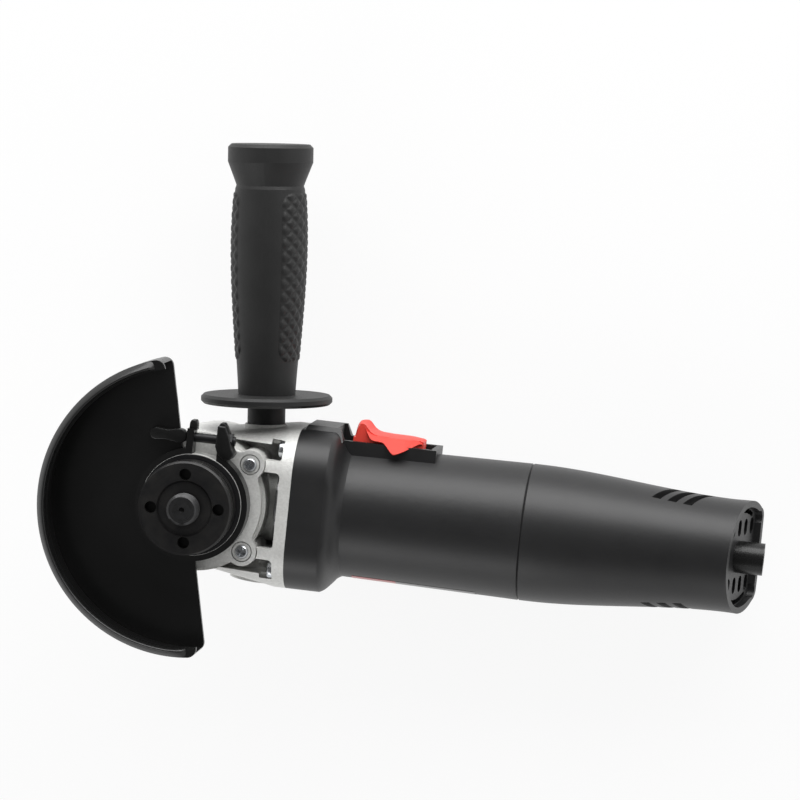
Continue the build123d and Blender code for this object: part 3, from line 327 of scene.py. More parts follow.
CAST = Finish("cast_aluminium", (0.73, 0.73, 0.71), (0.61, 0.61, 0.59), (0.36, 0.56), metallic=0.25,
              grain=1300.0, depth=0.00014, mottle=800.0, coarse=420.0, coarse_depth=0.00012)
PLASTIC = Finish("black_moulded_plastic", (0.0085, 0.0085, 0.009), (0.013, 0.013, 0.0135),
                 (0.36, 0.5), grain=3200.0, depth=0.000025, mottle=60.0, specular=0.52)
GRIP = Finish("black_grip_plastic", (0.0085, 0.0085, 0.0085), (0.013, 0.013, 0.013), (0.46, 0.62),
              grain=3000.0, mottle=70.0, specular=0.45)
PAINT = Finish("black_paint", (0.003, 0.003, 0.003), (0.005, 0.005, 0.005), (0.30, 0.42),
               grain=1400.0, depth=0.000008, mottle=50.0, coarse=260.0, coarse_depth=0.00001,
               coat=0.12, specular=0.45)
BLACKED = Finish("black_oxide_steel", (0.010, 0.010, 0.011), (0.017, 0.017, 0.018), (0.34, 0.5),
                 metallic=0.3, grain=2400.0, depth=0.00002, mottle=120.0, specular=0.38)
TURNED = Finish("turned_black_steel", (0.011, 0.011, 0.012), (0.024, 0.023, 0.022), (0.28, 0.44),
                metallic=0.45, mottle=140.0, lathe=True)
SPINDLE_STEEL = Finish("spindle_steel", (0.058, 0.058, 0.060), (0.037, 0.037, 0.037), (0.26, 0.4),
                       metallic=0.8, grain=2200.0, depth=0.00002, mottle=260.0, lathe=True)
STEEL = Finish("ground_steel", (0.50, 0.50, 0.51), (0.38, 0.38, 0.39), (0.24, 0.4), metallic=1.0,
               grain=3500.0, depth=0.000012, mottle=120.0)
ZINC = Finish("zinc_plate", (0.58, 0.59, 0.60), (0.46, 0.48, 0.51), (0.2, 0.34), metallic=1.0,
              grain=2800.0, depth=0.00001, mottle=300.0)
RED = Finish("red_plastic", (0.75, 0.062, 0.044), (0.69, 0.055, 0.038), (0.42, 0.56), grain=3000.0,
             depth=0.000015, mottle=70.0, specular=0.25)
LABEL = Finish("plain_label", (0.009, 0.009, 0.009), (0.011, 0.011, 0.011), (0.2, 0.3),
               grain=2000.0, depth=0.000004, mottle=60.0, band=(0.34, 0.009, 0.009),
               band_end=90.0 * MM)
GREY = Finish("grey_plastic", (0.045, 0.046, 0.048), (0.06, 0.06, 0.062), (0.44, 0.58))
RUBBER = Finish("black_rubber", (0.007, 0.007, 0.007), (0.011, 0.011, 0.011), (0.22, 0.4),
                grain=1800.0, depth=0.00002, specular=0.38)
COPPER = Finish("copper_wire", (0.55, 0.22, 0.09), (0.40, 0.14, 0.05), (0.25, 0.4), metallic=1.0,
                depth=0.00008, mottle=200.0, along=(0.2, 1.0, 1.0))
CORE = Finish("laminated_steel", (0.20, 0.20, 0.21), (0.13, 0.13, 0.14), (0.36, 0.52), metallic=0.9,
              grain=2400.0, depth=0.00005, mottle=100.0, along=(1.0, 0.1, 0.1))
BRONZE = Finish("bronze", (0.44, 0.30, 0.12), (0.34, 0.22, 0.08), (0.28, 0.42), metallic=1.0)
CARBON = Finish("carbon", (0.03, 0.03, 0.03), (0.045, 0.045, 0.045), (0.45, 0.6), metallic=0.2)

NODE_FINISHES: dict[Finish, tuple[str, ...]] = {
    CAST: ("gear_case", "bearing_cap"),
    PLASTIC: ("motor_housing", "rear_cover", "lock_button"),
    GRIP: ("handle_grip",),
    PAINT: ("guard_shell", "clamp_band", "clamp_lever"),
    BLACKED: ("clamp_bolt",),
    TURNED: ("inner_flange", "lock_nut"),
    SPINDLE_STEEL: ("spindle",),
    STEEL: ("crown_gear", "pinion", "pinion_nut", "armature_shaft", "bearing_retainer",
            "front_bearing_plate", "spindle_bearing_outer", "spindle_bearing_inner",
            "front_bearing_outer", "front_bearing_inner", "rear_bearing_outer",
            "rear_bearing_inner", "lock_spring", "brush_springs"),
    ZINC: ("cap_screws", "case_screws", "handle_stud"),
    RED: ("switch_slider",),
    GREY: ("fan_baffle", "cooling_fan", "switch_rod", "switch_module"),
    RUBBER: ("cord_gland",),
    COPPER: ("field_coils", "armature_windings", "commutator"),
    CORE: ("stator_core", "armature_core"),
    BRONZE: ("brush_holders", "spindle_bush"),
    CARBON: ("carbon_brushes",),
}


def dress(thing: bpy.types.Object, finish: Finish) -> None:
    """Puts one finish on the whole of an object."""
    thing.data.materials.clear()
    thing.data.materials.append(finish.material())


def dress_nodes() -> None:
    """Puts the finishes on every solid of the frame."""
    for finish, nodes in NODE_FINISHES.items():
        for node in nodes:
            dress(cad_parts[node], finish)
            LOG.info("node %s: %s", node, finish.name)


def add_piece(name: str, mesh: Mesh, finish: Finish, body: Body | None) -> bpy.types.Object:
    """Turns a mesh into a dressed piece that rides on a body.

    Args:
        name: Name of the piece.
        mesh: Its shape, which is freed.
        finish: Its finish.
        body: The body it rides on, or None for a piece that is left unattached.

    Returns:
        The new object.
    """
    data = bpy.data.meshes.new(name)
    mesh.to_mesh(data)
    mesh.free()
    thing = bpy.data.objects.new(name, data)
    bpy.context.scene.collection.objects.link(thing)
    data.shade_smooth()
    data.set_sharp_from_angle(angle=math.radians(SHARP_ANGLE))
    dress(thing, finish)
    if body is not None:
        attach(thing, body.value)
    place = body.value if body else "two bodies"
    LOG.info("piece %s: %d faces on %s", name, len(data.polygons), place)
    return thing


def only(geom: list[object], kind: type) -> list[object]:
    """Picks the items of one kind from an operator's result."""
    return [item for item in geom if isinstance(item, kind)]


def settle(mesh: Mesh) -> None:
    """Turns a closed mesh's faces outwards."""
    bmesh.ops.recalc_face_normals(mesh, faces=mesh.faces)


def drawn(mesh: Mesh, points: list[Vector], loop: bool = False) -> list[object]:
    """Draws a line of edges through points.

    Args:
        mesh: Mesh that takes the line.
        points: Where it runs.
        loop: Whether it closes on its first point.

    Returns:
        The line's vertices and edges.
    """
    verts = [mesh.verts.new(point) for point in points]
    ends = verts[1:] + verts[:1] if loop else verts[1:]
    return verts + [mesh.edges.new(pair) for pair in zip(verts, ends)]


def grid(columns: int, rows: int) -> Mesh:
    """Makes a flat unit sheet about the origin, to be bent into shape.

    Args:
        columns: Faces along X.
        rows: Faces along Y.

    Returns:
        The sheet's mesh.
    """
    mesh = bmesh.new()
    bmesh.ops.create_grid(mesh, x_segments=columns, y_segments=rows, size=0.5)
    return mesh


def turned(mesh: Mesh, outline: Outline, steps: int, loop: bool = False,
           foot: Vector = Vector(ORIGIN)) -> None:
    """Spins a (radius, height) outline once round an upright axis.

    Args:
        mesh: Mesh that takes the shape.
        outline: Points of the outline.
        steps: Segments round the axis.
        loop: Whether the outline closes on its first point.
        foot: Where the axis stands.
    """
    line = drawn(mesh, [foot + Vector((reach, 0.0, rise)) for reach, rise in outline], loop)
    bmesh.ops.spin(mesh, geom=line, axis=UP, cent=foot, angle=math.tau, steps=steps, use_merge=True)


def add_part(whole: Mesh, part: Mesh) -> None:
    """Adds one mesh to another and frees it.

    Args:
        whole: Mesh that grows.
        part: Mesh that is added.
    """
    data = bpy.data.meshes.new("part")
    part.to_mesh(data)
    part.free()
    whole.from_mesh(data)
    bpy.data.meshes.remove(data)


def thicken(mesh: Mesh, hub: Vector, wall: float) -> None:
    """Makes an open sheet solid, towards the point behind it.

    Args:
        mesh: The sheet.
        hub: The point behind it.
        wall: Thickness.
    """
    mesh.normal_update()
    if sum(face.normal.dot(face.calc_center_median() - hub) for face in mesh.faces) < 0.0:
        bmesh.ops.reverse_faces(mesh, faces=mesh.faces[:])
    bmesh.ops.solidify(mesh, geom=mesh.faces[:], thickness=wall)
    settle(mesh)


def draw_in(vert: Vert, reach: float) -> None:
    """Moves a vertex level to a distance from the spindle's axis."""
    share = reach / math.hypot(vert.co.x, vert.co.y)
    vert.co.x, vert.co.y = vert.co.x * share, vert.co.y * share


@dataclass
class ThreadedSpindle:
    """Spindle with its rolled M14 thread, from the lock nut out to its centre-drilled tip."""

    crest: float = 6.96 * MM
    root: float = 5.8 * MM
    pitch: float = 2.0 * MM
    thread_from: float = -8.0 * MM
    tip: float = 6.5 * MM
    chamfer: float = 1.2 * MM
    centre: float = 1.3 * MM
    centre_depth: float = 3.2 * MM
    journal: float = 7.46 * MM
    shoulder: float = -22.0 * MM
    step: float = -52.0 * MM
    tail: float = 4.96 * MM
    tail_end: float = -83.0 * MM
    thread_steps: int = 56
    shaft_steps: int = 48
    thread_merge: float = 2e-6

    def thread(self, mesh: Mesh) -> None:
        """Winds the thread's profile up the axis and cuts both ends square.

        Args:
            mesh: Mesh that takes the thread.
        """
        flat = self.pitch / 16
        half = self.pitch / 2
        low = self.thread_from - self.pitch
        profile = [(self.root, -half), (self.root, -half + flat), (self.crest, -flat),
                   (self.crest, flat), (self.root, half - flat), (self.root, half)]
        line = drawn(mesh, [Vector((reach, 0.0, low + rise)) for reach, rise in profile])
        turns = math.ceil((self.tip - low) / self.pitch) + 1
        bmesh.ops.spin(mesh, geom=line, axis=UP, cent=ORIGIN, angle=math.tau * turns,
                       steps=self.thread_steps * turns,
                       dvec=(0.0, 0.0, self.pitch / self.thread_steps))
        bmesh.ops.remove_doubles(mesh, verts=mesh.verts, dist=self.thread_merge)
        for height, way in ((self.tip, 1.0), (self.thread_from, -1.0)):
            geom = mesh.verts[:] + mesh.edges[:] + mesh.faces[:]
            bmesh.ops.bisect_plane(mesh, geom=geom, dist=MERGE, plane_co=(0.0, 0.0, height),
                                   plane_no=(0.0, 0.0, way), clear_outer=True)
        for vert in mesh.verts:
            most = self.crest - max(0.0, vert.co.z - (self.tip - self.chamfer))
            if math.hypot(vert.co.x, vert.co.y) > most:
                draw_in(vert, most)

    def close(self, mesh: Mesh) -> None:
        """Closes the cut ends, with a conical centre hole in the tip.

        Args:
            mesh: Mesh that holds the thread.
        """
        rims = [edge for edge in mesh.edges if edge.is_boundary]
        top = [edge for edge in rims if edge.verts[0].co.z > 0.0]
        low = [edge for edge in rims if edge.verts[0].co.z <= 0.0]
        bmesh.ops.edgeloop_fill(mesh, edges=low)
        ring = bmesh.ops.extrude_edge_only(mesh, edges=top)["geom"]
        for vert in only(ring, Vert):
            draw_in(vert, self.centre)
        cone = bmesh.ops.extrude_edge_only(mesh, edges=only(ring, Edge))["geom"]
        bmesh.ops.pointmerge(mesh, verts=only(cone, Vert),
                             merge_co=(0.0, 0.0, self.tip - self.centre_depth))
        settle(mesh)

    def build(self) -> None:
        """Makes the spindle in place of its plain solid."""
        mesh = bmesh.new()
        self.thread(mesh)
        self.close(mesh)
        shaft = bmesh.new()
        turned(shaft, [(0.0, self.thread_from), (self.crest, self.thread_from),
                       (self.crest, self.shoulder), (self.journal, self.shoulder),
                       (self.journal, self.step), (self.tail, self.step),
                       (self.tail, self.tail_end), (0.0, self.tail_end)], self.shaft_steps)
        bmesh.ops.remove_doubles(shaft, verts=shaft.verts, dist=MERGE)
        settle(shaft)
        add_part(mesh, shaft)
        piece = add_piece("threaded_spindle", mesh, SPINDLE_STEEL, Body.SPINDLE)
        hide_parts("spindle")


@dataclass
class CrossScrews:
    """A set of pan-head screws with cross recesses, all alike."""

    name: str
    node: str
    places: list[Point]
    towards: Point
    head: float
    height: float
    shank: float
    length: float
    crown: float = 0.78
    brow: float = 0.93
    brow_drop: float = 0.35 * MM
    side_drop: float = 1.0 * MM
    cross: float = 0.62
    arm: float = 0.17
    depth: float = 1.3 * MM
    draft: float = 0.6
    first_turn: float = 0.5
    next_turn: float = 1.1
    steps: int = 40

    def screw(self) -> Mesh:
        """Makes one screw with its seat at the origin and its head up +Z.

        Returns:
            The screw's mesh.
        """
        mesh = bmesh.new()
        head, top = self.head, self.height
        turned(mesh, [(head * self.crown, top), (head * self.brow, top - self.brow_drop),
                      (head, top - self.side_drop), (head, 0.0), (self.shank, 0.0),
                      (self.shank, -self.length), (0.0, -self.length)], self.steps)
        bmesh.ops.remove_doubles(mesh, verts=mesh.verts, dist=MERGE)
        rim = [edge for edge in mesh.edges if edge.is_boundary]
        reach, side = self.cross * head, self.arm * head
        spins = [Matrix.Rotation(math.tau * turn / 4, 3, "Z") for turn in range(4)]
        quarter = [(reach, -side), (reach, side), (side, side)]
        line = drawn(mesh, [spin @ Vector((x, y, top)) for spin in spins for x, y in quarter], True)
        corners, plus = only(line, Vert), only(line, Edge)
        bmesh.ops.triangle_fill(mesh, edges=rim + plus, use_beauty=True)
        hole = [face for face in mesh.faces if all(vert in corners for vert in face.verts)]
        bmesh.ops.delete(mesh, geom=hole, context="FACES")
        walls = bmesh.ops.extrude_edge_only(mesh, edges=plus)["geom"]
        deep = only(walls, Vert)
        bmesh.ops.scale(mesh, verts=deep, vec=(self.draft, self.draft, 1.0))
        bmesh.ops.translate(mesh, verts=deep, vec=(0.0, 0.0, -self.depth))
        bmesh.ops.triangle_fill(mesh, edges=only(walls, Edge), use_beauty=True)
        settle(mesh)
        return mesh

    def build(self) -> None:
        """Sets a screw at each place, each turned a little differently."""
        mesh = bmesh.new()
        stand = Vector(UP).rotation_difference(Vector(self.towards)).to_matrix().to_4x4()
        for number, place in enumerate(self.places):
            one = self.screw()
            spin = Matrix.Rotation(self.first_turn + self.next_turn * number, 4, "Z")
            bmesh.ops.transform(one, matrix=Matrix.Translation(place) @ stand @ spin,
                                verts=one.verts)
            add_part(mesh, one)
        piece = add_piece(self.name, mesh, ZINC, Body.HOUSING)
        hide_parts(self.node)


@dataclass
class SeatRings:
    """Cast rings in the cap's counterbores round the screws, and the dark dust ring on its neck."""

    places: list[Point]
    bore: float = 3.05 * MM
    rim: float = 4.2 * MM
    height: float = 2.4 * MM
    neck: float = 22.4 * MM
    lip: float = 14.4 * MM
    neck_top: float = -15.5 * MM
    dust: float = 0.35 * MM
    slope: float = 0.15 * MM
    steps: int = 64

    def ring(self, mesh: Mesh, inner: float, outer: float, place: Point,
             height: float) -> None:
        """Adds one flat ring.

        Args:
            mesh: Mesh that takes the ring.
            inner: Radius of its hole.
            outer: Radius of its rim.
            place: Middle of its underside.
            height: Its thickness.
        """
        outline = [(inner, 0.0), (inner, height), (outer - self.slope, height),
                   (outer, height - self.slope), (outer, 0.0)]
        turned(mesh, outline, self.steps, True, Vector(place))

    def build(self) -> None:
        """Makes the rings."""
        mesh = bmesh.new()
        for place in self.places:
            self.ring(mesh, self.bore, self.rim, place, self.height)
        settle(mesh)
        add_piece("screw_seats", mesh, CAST, Body.HOUSING)
        mesh = bmesh.new()
        self.ring(mesh, self.lip, self.neck, (0.0, 0.0, self.neck_top), self.dust)
        settle(mesh)
        add_piece("dust_ring", mesh, BLACKED, Body.HOUSING)


def prism(outline: Outline, low: float, high: float, edge: float) -> Mesh:
    """Makes an upright prism with rounded edges.

    Args:
        outline: Corners seen from above, in millimetres.
        low: Height of its underside.
        high: Height of its top.
        edge: Radius of its edges.

    Returns:
        The prism's mesh.
    """
    mesh = bmesh.new()
    base = mesh.faces.new([mesh.verts.new((x * MM, y * MM, low)) for x, y in outline])
    lifted = bmesh.ops.extrude_face_region(mesh, geom=[base])["geom"]
    bmesh.ops.translate(mesh, verts=only(lifted, Vert), vec=(0.0, 0.0, high - low))
    settle(mesh)
    bmesh.ops.bevel(mesh, geom=mesh.edges[:], offset=edge, offset_type="OFFSET", segments=3,
                    profile=0.5, affect="EDGES", material=-1, clamp_overlap=True)
    settle(mesh)
    return mesh


@dataclass
class GuardClamp:
    """Pressed details of the guard's clamp: post tops, a folded lug and the lever's rounded bar.

    Outlines seen from above are in millimetres.
    """

    posts: tuple[float, ...] = (-2.4, 10.6)
    post_half: float = 1.7
    post_low: float = 32.8
    post_neck: float = 36.0
    post_high: float = 37.4
    post_taper: float = 0.6
    post_from: float = -22.4 * MM
    post_to: float = -17.0 * MM
    post_edge: float = 0.42 * MM
    lug: Outline = (
        (8.6, 36.2), (12.2, 36.2), (14.2, 31.5), (15.8, 26.5), (17.2, 24.2), (15.6, 21.6),
        (12.5, 21.3), (9.6, 23.6), (8.2, 27.0), (8.6, 32.0))
    lug_from: float = -24.0 * MM
    lug_to: float = -15.2 * MM
    pivot: tuple[float, float] = (-8.2, 29.6)
    eye: float = 3.3
    bar_length: float = 13.4
    bar_half: float = 2.7
    neck_at: float = 3.0
    neck_half: float = 2.7
    waist_at: float = 6.0
    waist_half: float = 2.2
    bar_from: float = -21.7 * MM
    bar_to: float = -17.3 * MM
    edge: float = 0.7 * MM

    def post(self, middle: float) -> Mesh:
        """Makes one post top, narrowed towards its end.

        Args:
            middle: Its place along the body.

        Returns:
            The post's mesh.
        """
        half, end = self.post_half, self.post_half * self.post_taper
        outline = [(middle - half, self.post_low), (middle + half, self.post_low),
                   (middle + half, self.post_neck), (middle + end, self.post_high),
                   (middle - end, self.post_high), (middle - half, self.post_neck)]
        return prism(outline, self.post_from, self.post_to, self.post_edge)

    def bar(self) -> Outline:
        """Draws the lever: a round eye, a waist and a rounded end.

        Returns:
            Its outline seen from above.
        """
        x, y = self.pivot
        eye = [math.radians(turn) for turn in range(-100, 101, 20)]
        end = [math.radians(turn) for turn in range(90, 271, 20)]
        end_x = x - self.bar_length + self.bar_half
        neck, waist = x - self.neck_at, x - self.waist_at
        points = [(x + self.eye * math.cos(a), y + self.eye * math.sin(a)) for a in eye]
        points += [(neck, y + self.neck_half), (waist, y + self.waist_half)]
        points += [(end_x + self.bar_half * math.cos(a), y + self.bar_half * math.sin(a))
                   for a in end]
        return points + [(waist, y - self.waist_half), (neck, y - self.neck_half)]

    def build(self) -> None:
        """Makes the clamp's pieces."""
        for number, middle in enumerate(self.posts, 1):
            post = self.post(middle)
            add_piece(f"clamp_post_{number}", post, PAINT, Body.GUARD)
        lug = prism(self.lug, self.lug_from, self.lug_to, self.edge)
        add_piece("clamp_lug", lug, PAINT, Body.GUARD)
        shape = prism(self.bar(), self.bar_from, self.bar_to, self.edge)
        bar = add_piece("clamp_bar", shape, PAINT, Body.CLAMP_LEVER)
        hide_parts("clamp_lever")


@dataclass
class GuardRim:
    """Rolled bead along the guard's front edge, its outer side leaning inwards."""

    inner: float = 61.9 * MM
    outer: float = 66.05 * MM
    front: float = -2.0 * MM
    crest: float = 63.2 * MM
    rise: float = 3.2 * MM
    lean: float = 1.4
    root: float = 0.6 * MM
    first: float = 107.6
    last: float = 276.4
    run_out: float = 9.0
    steps: int = 140
    arc: int = 9

    def outline(self) -> Outline:
        """Draws the bead's section: a round inner side, a leaning outer side and a sunk root.

        Returns:
            Radius and height over the lip, point by point.
        """
        inside, outside = self.crest - self.inner, self.outer - self.crest
        shares = [step / self.arc for step in range(self.arc + 1)]
        points = [(self.crest - inside * share, self.rise * math.sqrt(1.0 - share ** 2))
                  for share in reversed(shares[1:])]
        points += [(self.crest + outside * share, self.rise * (1.0 - share ** self.lean))
                   for share in shares]
        return points + [(self.outer - self.root, -self.root), (self.inner + self.root, -self.root)]

    def build(self) -> None:
        """Makes the bead, which sinks into the lip at its two ends."""
        mesh = bmesh.new()
        turn = Matrix.Rotation(math.radians(self.first), 4, "Z")
        points = [turn @ Vector((reach, 0.0, self.front + rise)) for reach, rise in self.outline()]
        bmesh.ops.spin(mesh, geom=drawn(mesh, points, True), axis=UP, cent=ORIGIN,
                       angle=math.radians(self.last - self.first), steps=self.steps)
        bmesh.ops.holes_fill(mesh, edges=[edge for edge in mesh.edges if edge.is_boundary])
        base = self.front - self.root
        for vert in mesh.verts:
            angle = math.degrees(math.atan2(vert.co.y, vert.co.x)) % 360.0
            share = min(1.0, min(angle - self.first, self.last - angle) / self.run_out)
            ease = math.sqrt(max(0.0, share * (2.0 - share)))
            vert.co.z = base + (vert.co.z - base) * ease
        settle(mesh)
        add_piece("guard_rim", mesh, PAINT, Body.GUARD)


def clamped(value: float) -> float:
    """Keeps a value between 0 and 1."""
    return min(1.0, max(0.0, value))


@dataclass
class SideGrip:
    """The side handle's two knurled pads, laid on its turned grip."""

    mouth: Point = (23.7 * MM, 35.3 * MM, -57.0 * MM)
    lean: float = 4.8
    start: float = 27.5 * MM
    end: float = 104.9 * MM
    half_angle: float = 55.0
    turn: float = -10.0
    tall: float = 6.0 * MM
    wide: float = 6.2 * MM
    relief: float = 0.6 * MM
    rim: float = 0.02 * MM
    rim_run: float = 0.9 * MM
    sunk: float = 0.5 * MM
    corner: float = 7.0 * MM
    field_inset: float = 1.2 * MM
    field_run: float = 0.5 * MM
    groove: float = 0.03
    groove_side: float = 0.3
    wall: float = 0.8 * MM
    mean_radius: float = 15.5 * MM
    probe: float = 40.0 * MM
    columns: int = 64
    rows: int = 180

    def frame(self) -> Matrix:
        """Works out the handle's frame.

        Returns:
            Frame with X towards the spindle's side and Z out along the grip.
        """
        lean = math.radians(self.lean)
        out = Vector((-math.sin(lean), math.cos(lean), 0.0))
        x_way = Vector(UP)
        turn = Matrix((x_way, out.cross(x_way), out)).transposed().to_4x4()
        return Matrix.Translation(self.mouth) @ turn

    def radii(self) -> list[float]:
        """Measures the grip's radius at each row, from its solid.

        Returns:
            Radius per row of a pad.
        """
        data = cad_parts["handle_grip"].data
        tree = BVHTree.FromPolygons([vert.co for vert in data.vertices],
                                    [face.vertices[:] for face in data.polygons])
        place = self.frame()
        inwards = place.to_3x3() @ Vector((0.0, -1.0, 0.0))
        found = []
        for row in range(self.rows + 1):
            rise = self.start + (self.end - self.start) * row / self.rows
            hit = tree.ray_cast(place @ Vector((0.0, self.probe, rise)), inwards)
            found.append((hit[0] - place @ Vector((0.0, 0.0, rise))).length)
        return found

    def height(self, around: float, along: float) -> float:
        """Works out the height of a pad's surface over the grip.

        Args:
            around: Distance round the grip from the pad's middle.
            along: Distance along the grip from the pad's lower end.

        Returns:
            Height over the grip's radius.
        """
        half = math.radians(self.half_angle) * self.mean_radius
        length = self.end - self.start
        over_x = max(0.0, abs(around) - half + self.corner)
        over_y = max(0.0, abs(along - length / 2) - length / 2 + self.corner)
        inside = self.corner - math.hypot(over_x, over_y)
        edge = clamped(inside / self.rim_run)
        field = clamped((inside - self.field_inset) / self.field_run)
        first = (around / self.wide + along / self.tall) % 1.0
        second = (around / self.wide - along / self.tall) % 1.0
        groove = min(abs(first - 0.5), abs(second - 0.5))
        tile = clamped((groove - self.groove) / self.groove_side)
        return edge * (self.sunk + self.rim) - self.sunk + field * tile * self.relief

    def pad(self, middle: float, radii: list[float]) -> Mesh:
        """Makes one knurled pad.

        Args:
            middle: Angle of the pad's middle from the spindle's side.
            radii: Grip radius per row.

        Returns:
            The pad's mesh.
        """
        mesh = grid(self.columns, self.rows)
        place = self.frame()
        half = math.radians(self.half_angle)
        for vert in mesh.verts:
            share = vert.co.y + 0.5
            offset = vert.co.x * 2.0 * half
            along = share * (self.end - self.start)
            height = self.height(offset * self.mean_radius, along)
            reach = radii[round(share * self.rows)] + height
            angle = middle + offset
            vert.co = place @ Vector((reach * math.cos(angle), reach * math.sin(angle),
                                      self.start + along))
        thicken(mesh, place @ Vector((0.0, 0.0, (self.start + self.end) / 2)), self.wall)
        return mesh

    def build(self) -> None:
        """Makes both pads."""
        radii = self.radii()
        for name, side in (("grip_pad_rear", 90.0), ("grip_pad_front", -90.0)):
            pad = self.pad(math.radians(self.turn + side), radii)
            add_piece(name, pad, GRIP, Body.HOUSING)


@dataclass
class ThumbSlide:
    """Slide switch's thumb piece: a ridge, a scoop, a level tail and wings that lap the rails.

    The outline along its middle is in millimetres.
    """

    start: float = 64.5 * MM
    end: float = 95.6 * MM
    seat: float = 30.7 * MM
    half_width: float = 9.9 * MM
    tail_half: float = 6.0 * MM
    taper: float = 88.0 * MM
    bow: float = 1.2 * MM
    crown: float = 0.5 * MM
    block_grid: tuple[int, int] = (96, 28)
    wing_grid: tuple[int, int] = (48, 20)
    wing_start: float = 69.0 * MM
    lip_end: float = 73.5 * MM
    flap_start: float = 77.5 * MM
    flap_end: float = 84.5 * MM
    fall_start: float = 83.0 * MM
    fall_curve: float = 1.4
    wing_end: float = 95.3 * MM
    lip: float = 0.28
    flap: float = 0.60
    shelf_share: float = 0.2
    wing_shelf: float = 1.0 * MM
    wing_tuck: float = 1.0 * MM
    wing_sunk: float = 0.05 * MM
    wing_out: float = 7.0 * MM
    wing_drop: float = 7.6 * MM
    wing_least: float = 0.01
    wing_wall: float = 0.55 * MM
    stem: Outline = ((77.75, 26.7), (85.75, 26.7), (85.75, 30.9), (77.75, 30.9))
    stem_half: float = 2.5 * MM
    stem_edge: float = 0.2 * MM
    outline: Outline = (
        (64.5, 35.0), (64.7, 37.6), (65.2, 39.8), (66.0, 41.2), (67.0, 41.5), (68.1, 41.0),
        (69.2, 39.8), (70.6, 38.3), (72.2, 37.3), (74.2, 36.8), (80.0, 36.45), (90.0, 36.35),
        (93.6, 36.1), (95.0, 35.3), (95.6, 34.2))

    def top(self, along: float) -> float:
        """Finds the height of the thumb piece's middle line.

        Args:
            along: Place along the tool.

        Returns:
            The height there.
        """
        points = self.outline
        spot = min(max(along / MM, points[0][0]), points[-1][0])
        first, second = next(pair for pair in zip(points, points[1:]) if spot <= pair[1][0])
        share = (spot - first[0]) / (second[0] - first[0])
        return (first[1] + (second[1] - first[1]) * share) * MM

    def half(self, along: float) -> float:
        """Half the thumb piece's width at a place along the tool."""
        share = max(0.0, (along - self.taper) / (self.end - self.taper))
        return self.half_width + (self.tail_half - self.half_width) * share

    @staticmethod
    def eased(value: float, low: float, high: float) -> float:
        """Smooth step from 0 at the low end to 1 at the high end."""
        share = clamped((value - low) / (high - low))
        return share * share * (3.0 - 2.0 * share)

    def block(self) -> Mesh:
        """Makes the block that runs between the rails.

        Returns:
            The block's mesh.
        """
        mesh = grid(*self.block_grid)
        for vert in mesh.verts:
            along = self.start + (vert.co.x + 0.5) * (self.end - self.start)
            side = vert.co.y * 2.0
            height = self.top(along - self.bow * side * side) - self.crown * side * side
            vert.co = Vector((along, height, AXIS_Z + side * self.half(along)))
        lower = bmesh.ops.extrude_face_region(mesh, geom=mesh.faces[:])["geom"]
        for vert in only(lower, Vert):
            vert.co.y = self.seat
        settle(mesh)
        return mesh

    def wing(self, way: float) -> Mesh:
        """Makes one wing that laps over a rail.

        Args:
            way: 1 for the spindle's side, -1 for the other.

        Returns:
            The wing's mesh.
        """
        mesh = grid(*self.wing_grid)
        shelf_share = self.shelf_share
        for vert in mesh.verts:
            along = self.wing_start + (vert.co.x + 0.5) * (self.wing_end - self.wing_start)
            lip = self.eased(along, self.wing_start, self.lip_end)
            flap = self.eased(along, self.flap_start, self.flap_end)
            fall = max(0.0, (along - self.fall_start) / (self.wing_end - self.fall_start))
            reach = (self.lip * lip + self.flap * flap) * (1.0 - fall ** self.fall_curve)
            share = vert.co.y + 0.5
            slope = max(0.0, share - shelf_share) / (1.0 - shelf_share)
            slope *= max(self.wing_least, reach)
            shelf = min(1.0, share / shelf_share) * (self.wing_shelf * lip + self.wing_tuck)
            height = self.top(along) - self.crown - self.wing_sunk - slope * self.wing_drop
            out = self.half(along) + shelf - self.wing_tuck + slope * self.wing_out
            vert.co = Vector((along, height, AXIS_Z + way * out))
        hub = Vector(((self.wing_start + self.wing_end) / 2, 0.0, AXIS_Z))
        thicken(mesh, hub, self.wing_wall)
        return mesh

    def build(self) -> None:
        """Makes the thumb piece with its stem."""
        stem = prism(self.stem, AXIS_Z - self.stem_half, AXIS_Z + self.stem_half, self.stem_edge)
        whole = self.block()
        for part in (self.wing(1.0), self.wing(-1.0), stem):
            add_part(whole, part)
        slide = add_piece("thumb_slide", whole, RED, Body.SWITCH)
        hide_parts("switch_slider")


@dataclass
class LockCoil:
    """Coil spring under the spindle lock's button, which shortens as the button goes in."""

    at: tuple[float, float] = (-10.4 * MM, 0.0)
    low: float = -90.3 * MM
    high: float = -85.1 * MM
    radius: float = 2.7 * MM
    wire: float = 0.32 * MM
    wire_sides: int = 10
    turns: float = 2.25
    steps: int = 80

    def build(self) -> None:
        """Winds the coil between the head and the button."""
        mesh = bmesh.new()
        place = Matrix.Translation((self.at[0] + self.radius, self.at[1], self.low + self.wire))
        bmesh.ops.create_circle(mesh, cap_ends=True, segments=self.wire_sides, radius=self.wire,
                                matrix=place @ Matrix.Rotation(math.pi / 2, 4, "X"))
        climb = (self.high - self.low - 2.0 * self.wire) / self.steps
        bmesh.ops.spin(mesh, geom=mesh.faces[:], cent=(*self.at, 0.0), axis=UP,
                       dvec=(0.0, 0.0, climb), angle=math.tau * self.turns, steps=self.steps)
        bmesh.ops.remove_doubles(mesh, verts=mesh.verts, dist=MERGE)
        settle(mesh)
        coil = add_piece("lock_coil", mesh, STEEL, None)
        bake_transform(coil)
        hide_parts("lock_spring")


